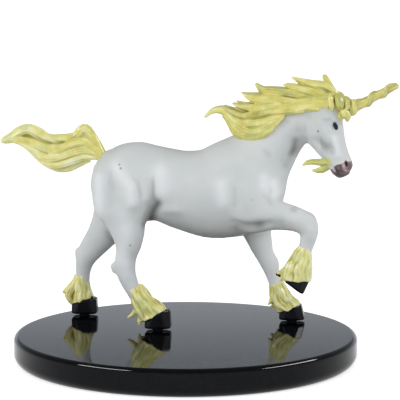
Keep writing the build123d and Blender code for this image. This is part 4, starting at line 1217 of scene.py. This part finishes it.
# How far off a thing is that fills the picture, in its own widths
REACH = 3110.0 / 400.0
camera = placed("eye", bpy.data.cameras.new("eye"))
back = Vector((0, -math.cos(ELEVATION), math.sin(ELEVATION)))
camera.location = TARGET + back * DISTANCE
camera.rotation_mode = "QUATERNION"
camera.rotation_quaternion = (-back).to_track_quat("-Z", "Y")
camera.data.sensor_width = SENSOR
camera.data.lens = REACH * SENSOR
camera.data.clip_start = 0.01
camera.data.clip_end = 100.0
bpy.context.scene.camera = camera

# Floor: pale, and lit evenly where it is seen or mirrored
FLOOR_HALF = 4.0
FLOOR_GLOW = 0.64
floor_mesh = bpy.data.meshes.new("floor")
corners = [(x * FLOOR_HALF, y * FLOOR_HALF, 0.0) for x, y in ((-1, -1), (1, -1), (1, 1), (-1, 1))]
floor_mesh.from_pydata(corners, [], [(0, 1, 2, 3)])
floor = placed("floor", floor_mesh)
floor_paint, floor_tree, floor_shader = material("floor_paint")
floor_shader.inputs["Base Color"].default_value = (0.9, 0.9, 0.9, 1)
floor_shader.inputs["Roughness"].default_value = 0.9
floor_shader.inputs["Specular IOR Level"].default_value = 0.0
path = floor_tree.nodes.new("ShaderNodeLightPath")
seen = maths(floor_tree, "MAXIMUM", path.outputs["Is Camera Ray"], path.outputs["Is Glossy Ray"])
seen = maths(floor_tree, "MAXIMUM", seen, path.outputs["Is Transmission Ray"])
lit = maths(floor_tree, "MULTIPLY", seen, FLOOR_GLOW)
floor_tree.links.new(lit, floor_shader.inputs["Emission Strength"])
floor_shader.inputs["Emission Color"].default_value = (1, 1, 1, 1)
floor_mesh.materials.append(floor_paint)

# Sky: brightness by height, bluish, and grey overhead
SKY_TINT = np.array((0.94, 1.0, 1.08))
SKY_LEVELS = ((0.0, 1.0), (0.190, 1.0), (0.1925, 0.94), (0.1986, 0.71), (0.2049, 0.57), (0.2086, 0.49),
              (0.3, 0.41))
OVERHEAD = (0.7, (0.40, 0.40, 0.40))
world = bpy.data.worlds.new("studio")
bpy.context.scene.world = world
world.use_nodes = True
sky = world.node_tree
around = sky.nodes.new("ShaderNodeTexCoord")
split = sky.nodes.new("ShaderNodeSeparateXYZ")
sky.links.new(around.outputs["Generated"], split.inputs[0])
tinted = [(place, tuple(brightness * SKY_TINT)) for place, brightness in SKY_LEVELS]
glow = ramp(sky, split.outputs["Z"], tinted + [OVERHEAD])
sky.links.new(glow, sky.nodes["Background"].inputs["Color"])


def lamp(name, place, width, height, power):
    """A soft box, aimed at the figure."""
    light = bpy.data.lights.new(name, "AREA")
    light.shape = "RECTANGLE"
    light.size = width
    light.size_y = height
    light.energy = power
    made = placed(name, light)
    made.location = place
    made.rotation_mode = "QUATERNION"
    made.rotation_quaternion = (Vector(place) - TARGET).to_track_quat("Z", "Y")
    return made


BLACKS = (HOOF_BLACK, BASE_BLACK, EYE_BLACK)


def gloss_black(name, state):
    """A group of the gloss black pieces, for a lamp that reaches only them or leaves them out."""
    group = bpy.data.collections.new(name)
    for piece in bpy.data.objects:
        if piece.type == "MESH" and piece.data.materials and piece.data.materials[0] in BLACKS:
            group.objects.link(piece)
    for member in group.collection_objects:
        member.light_linking.link_state = state
    return group


# Lamps, in metres and watts: the boxes and the fill light the paint, and thin strips above the boxes draw the
# highlights on the gloss black
left_out = gloss_black("left_out", "EXCLUDE")
for box in (lamp("left_box", (-0.573, -0.305, 0.375), width=0.24, height=0.24, power=1.4),
            lamp("right_box", (0.64, -0.113, 0.375), width=0.24, height=0.24, power=1.4)):
    box.light_linking.receiver_collection = left_out
lamp("front_fill", (-0.092, -0.69, 0.25), width=0.6, height=0.6, power=1.28).visible_glossy = False
only_black = gloss_black("only_black", "INCLUDE")
for strip in (lamp("left_strip", (-0.573, -0.305, 0.48), width=0.5, height=0.12, power=11.0),
              lamp("right_strip", (0.646, -0.068, 0.48), width=0.62, height=0.12, power=12.0)):
    strip.visible_diffuse = False
    strip.light_linking.receiver_collection = only_black

bpy.context.scene.view_settings.view_transform = "Standard"
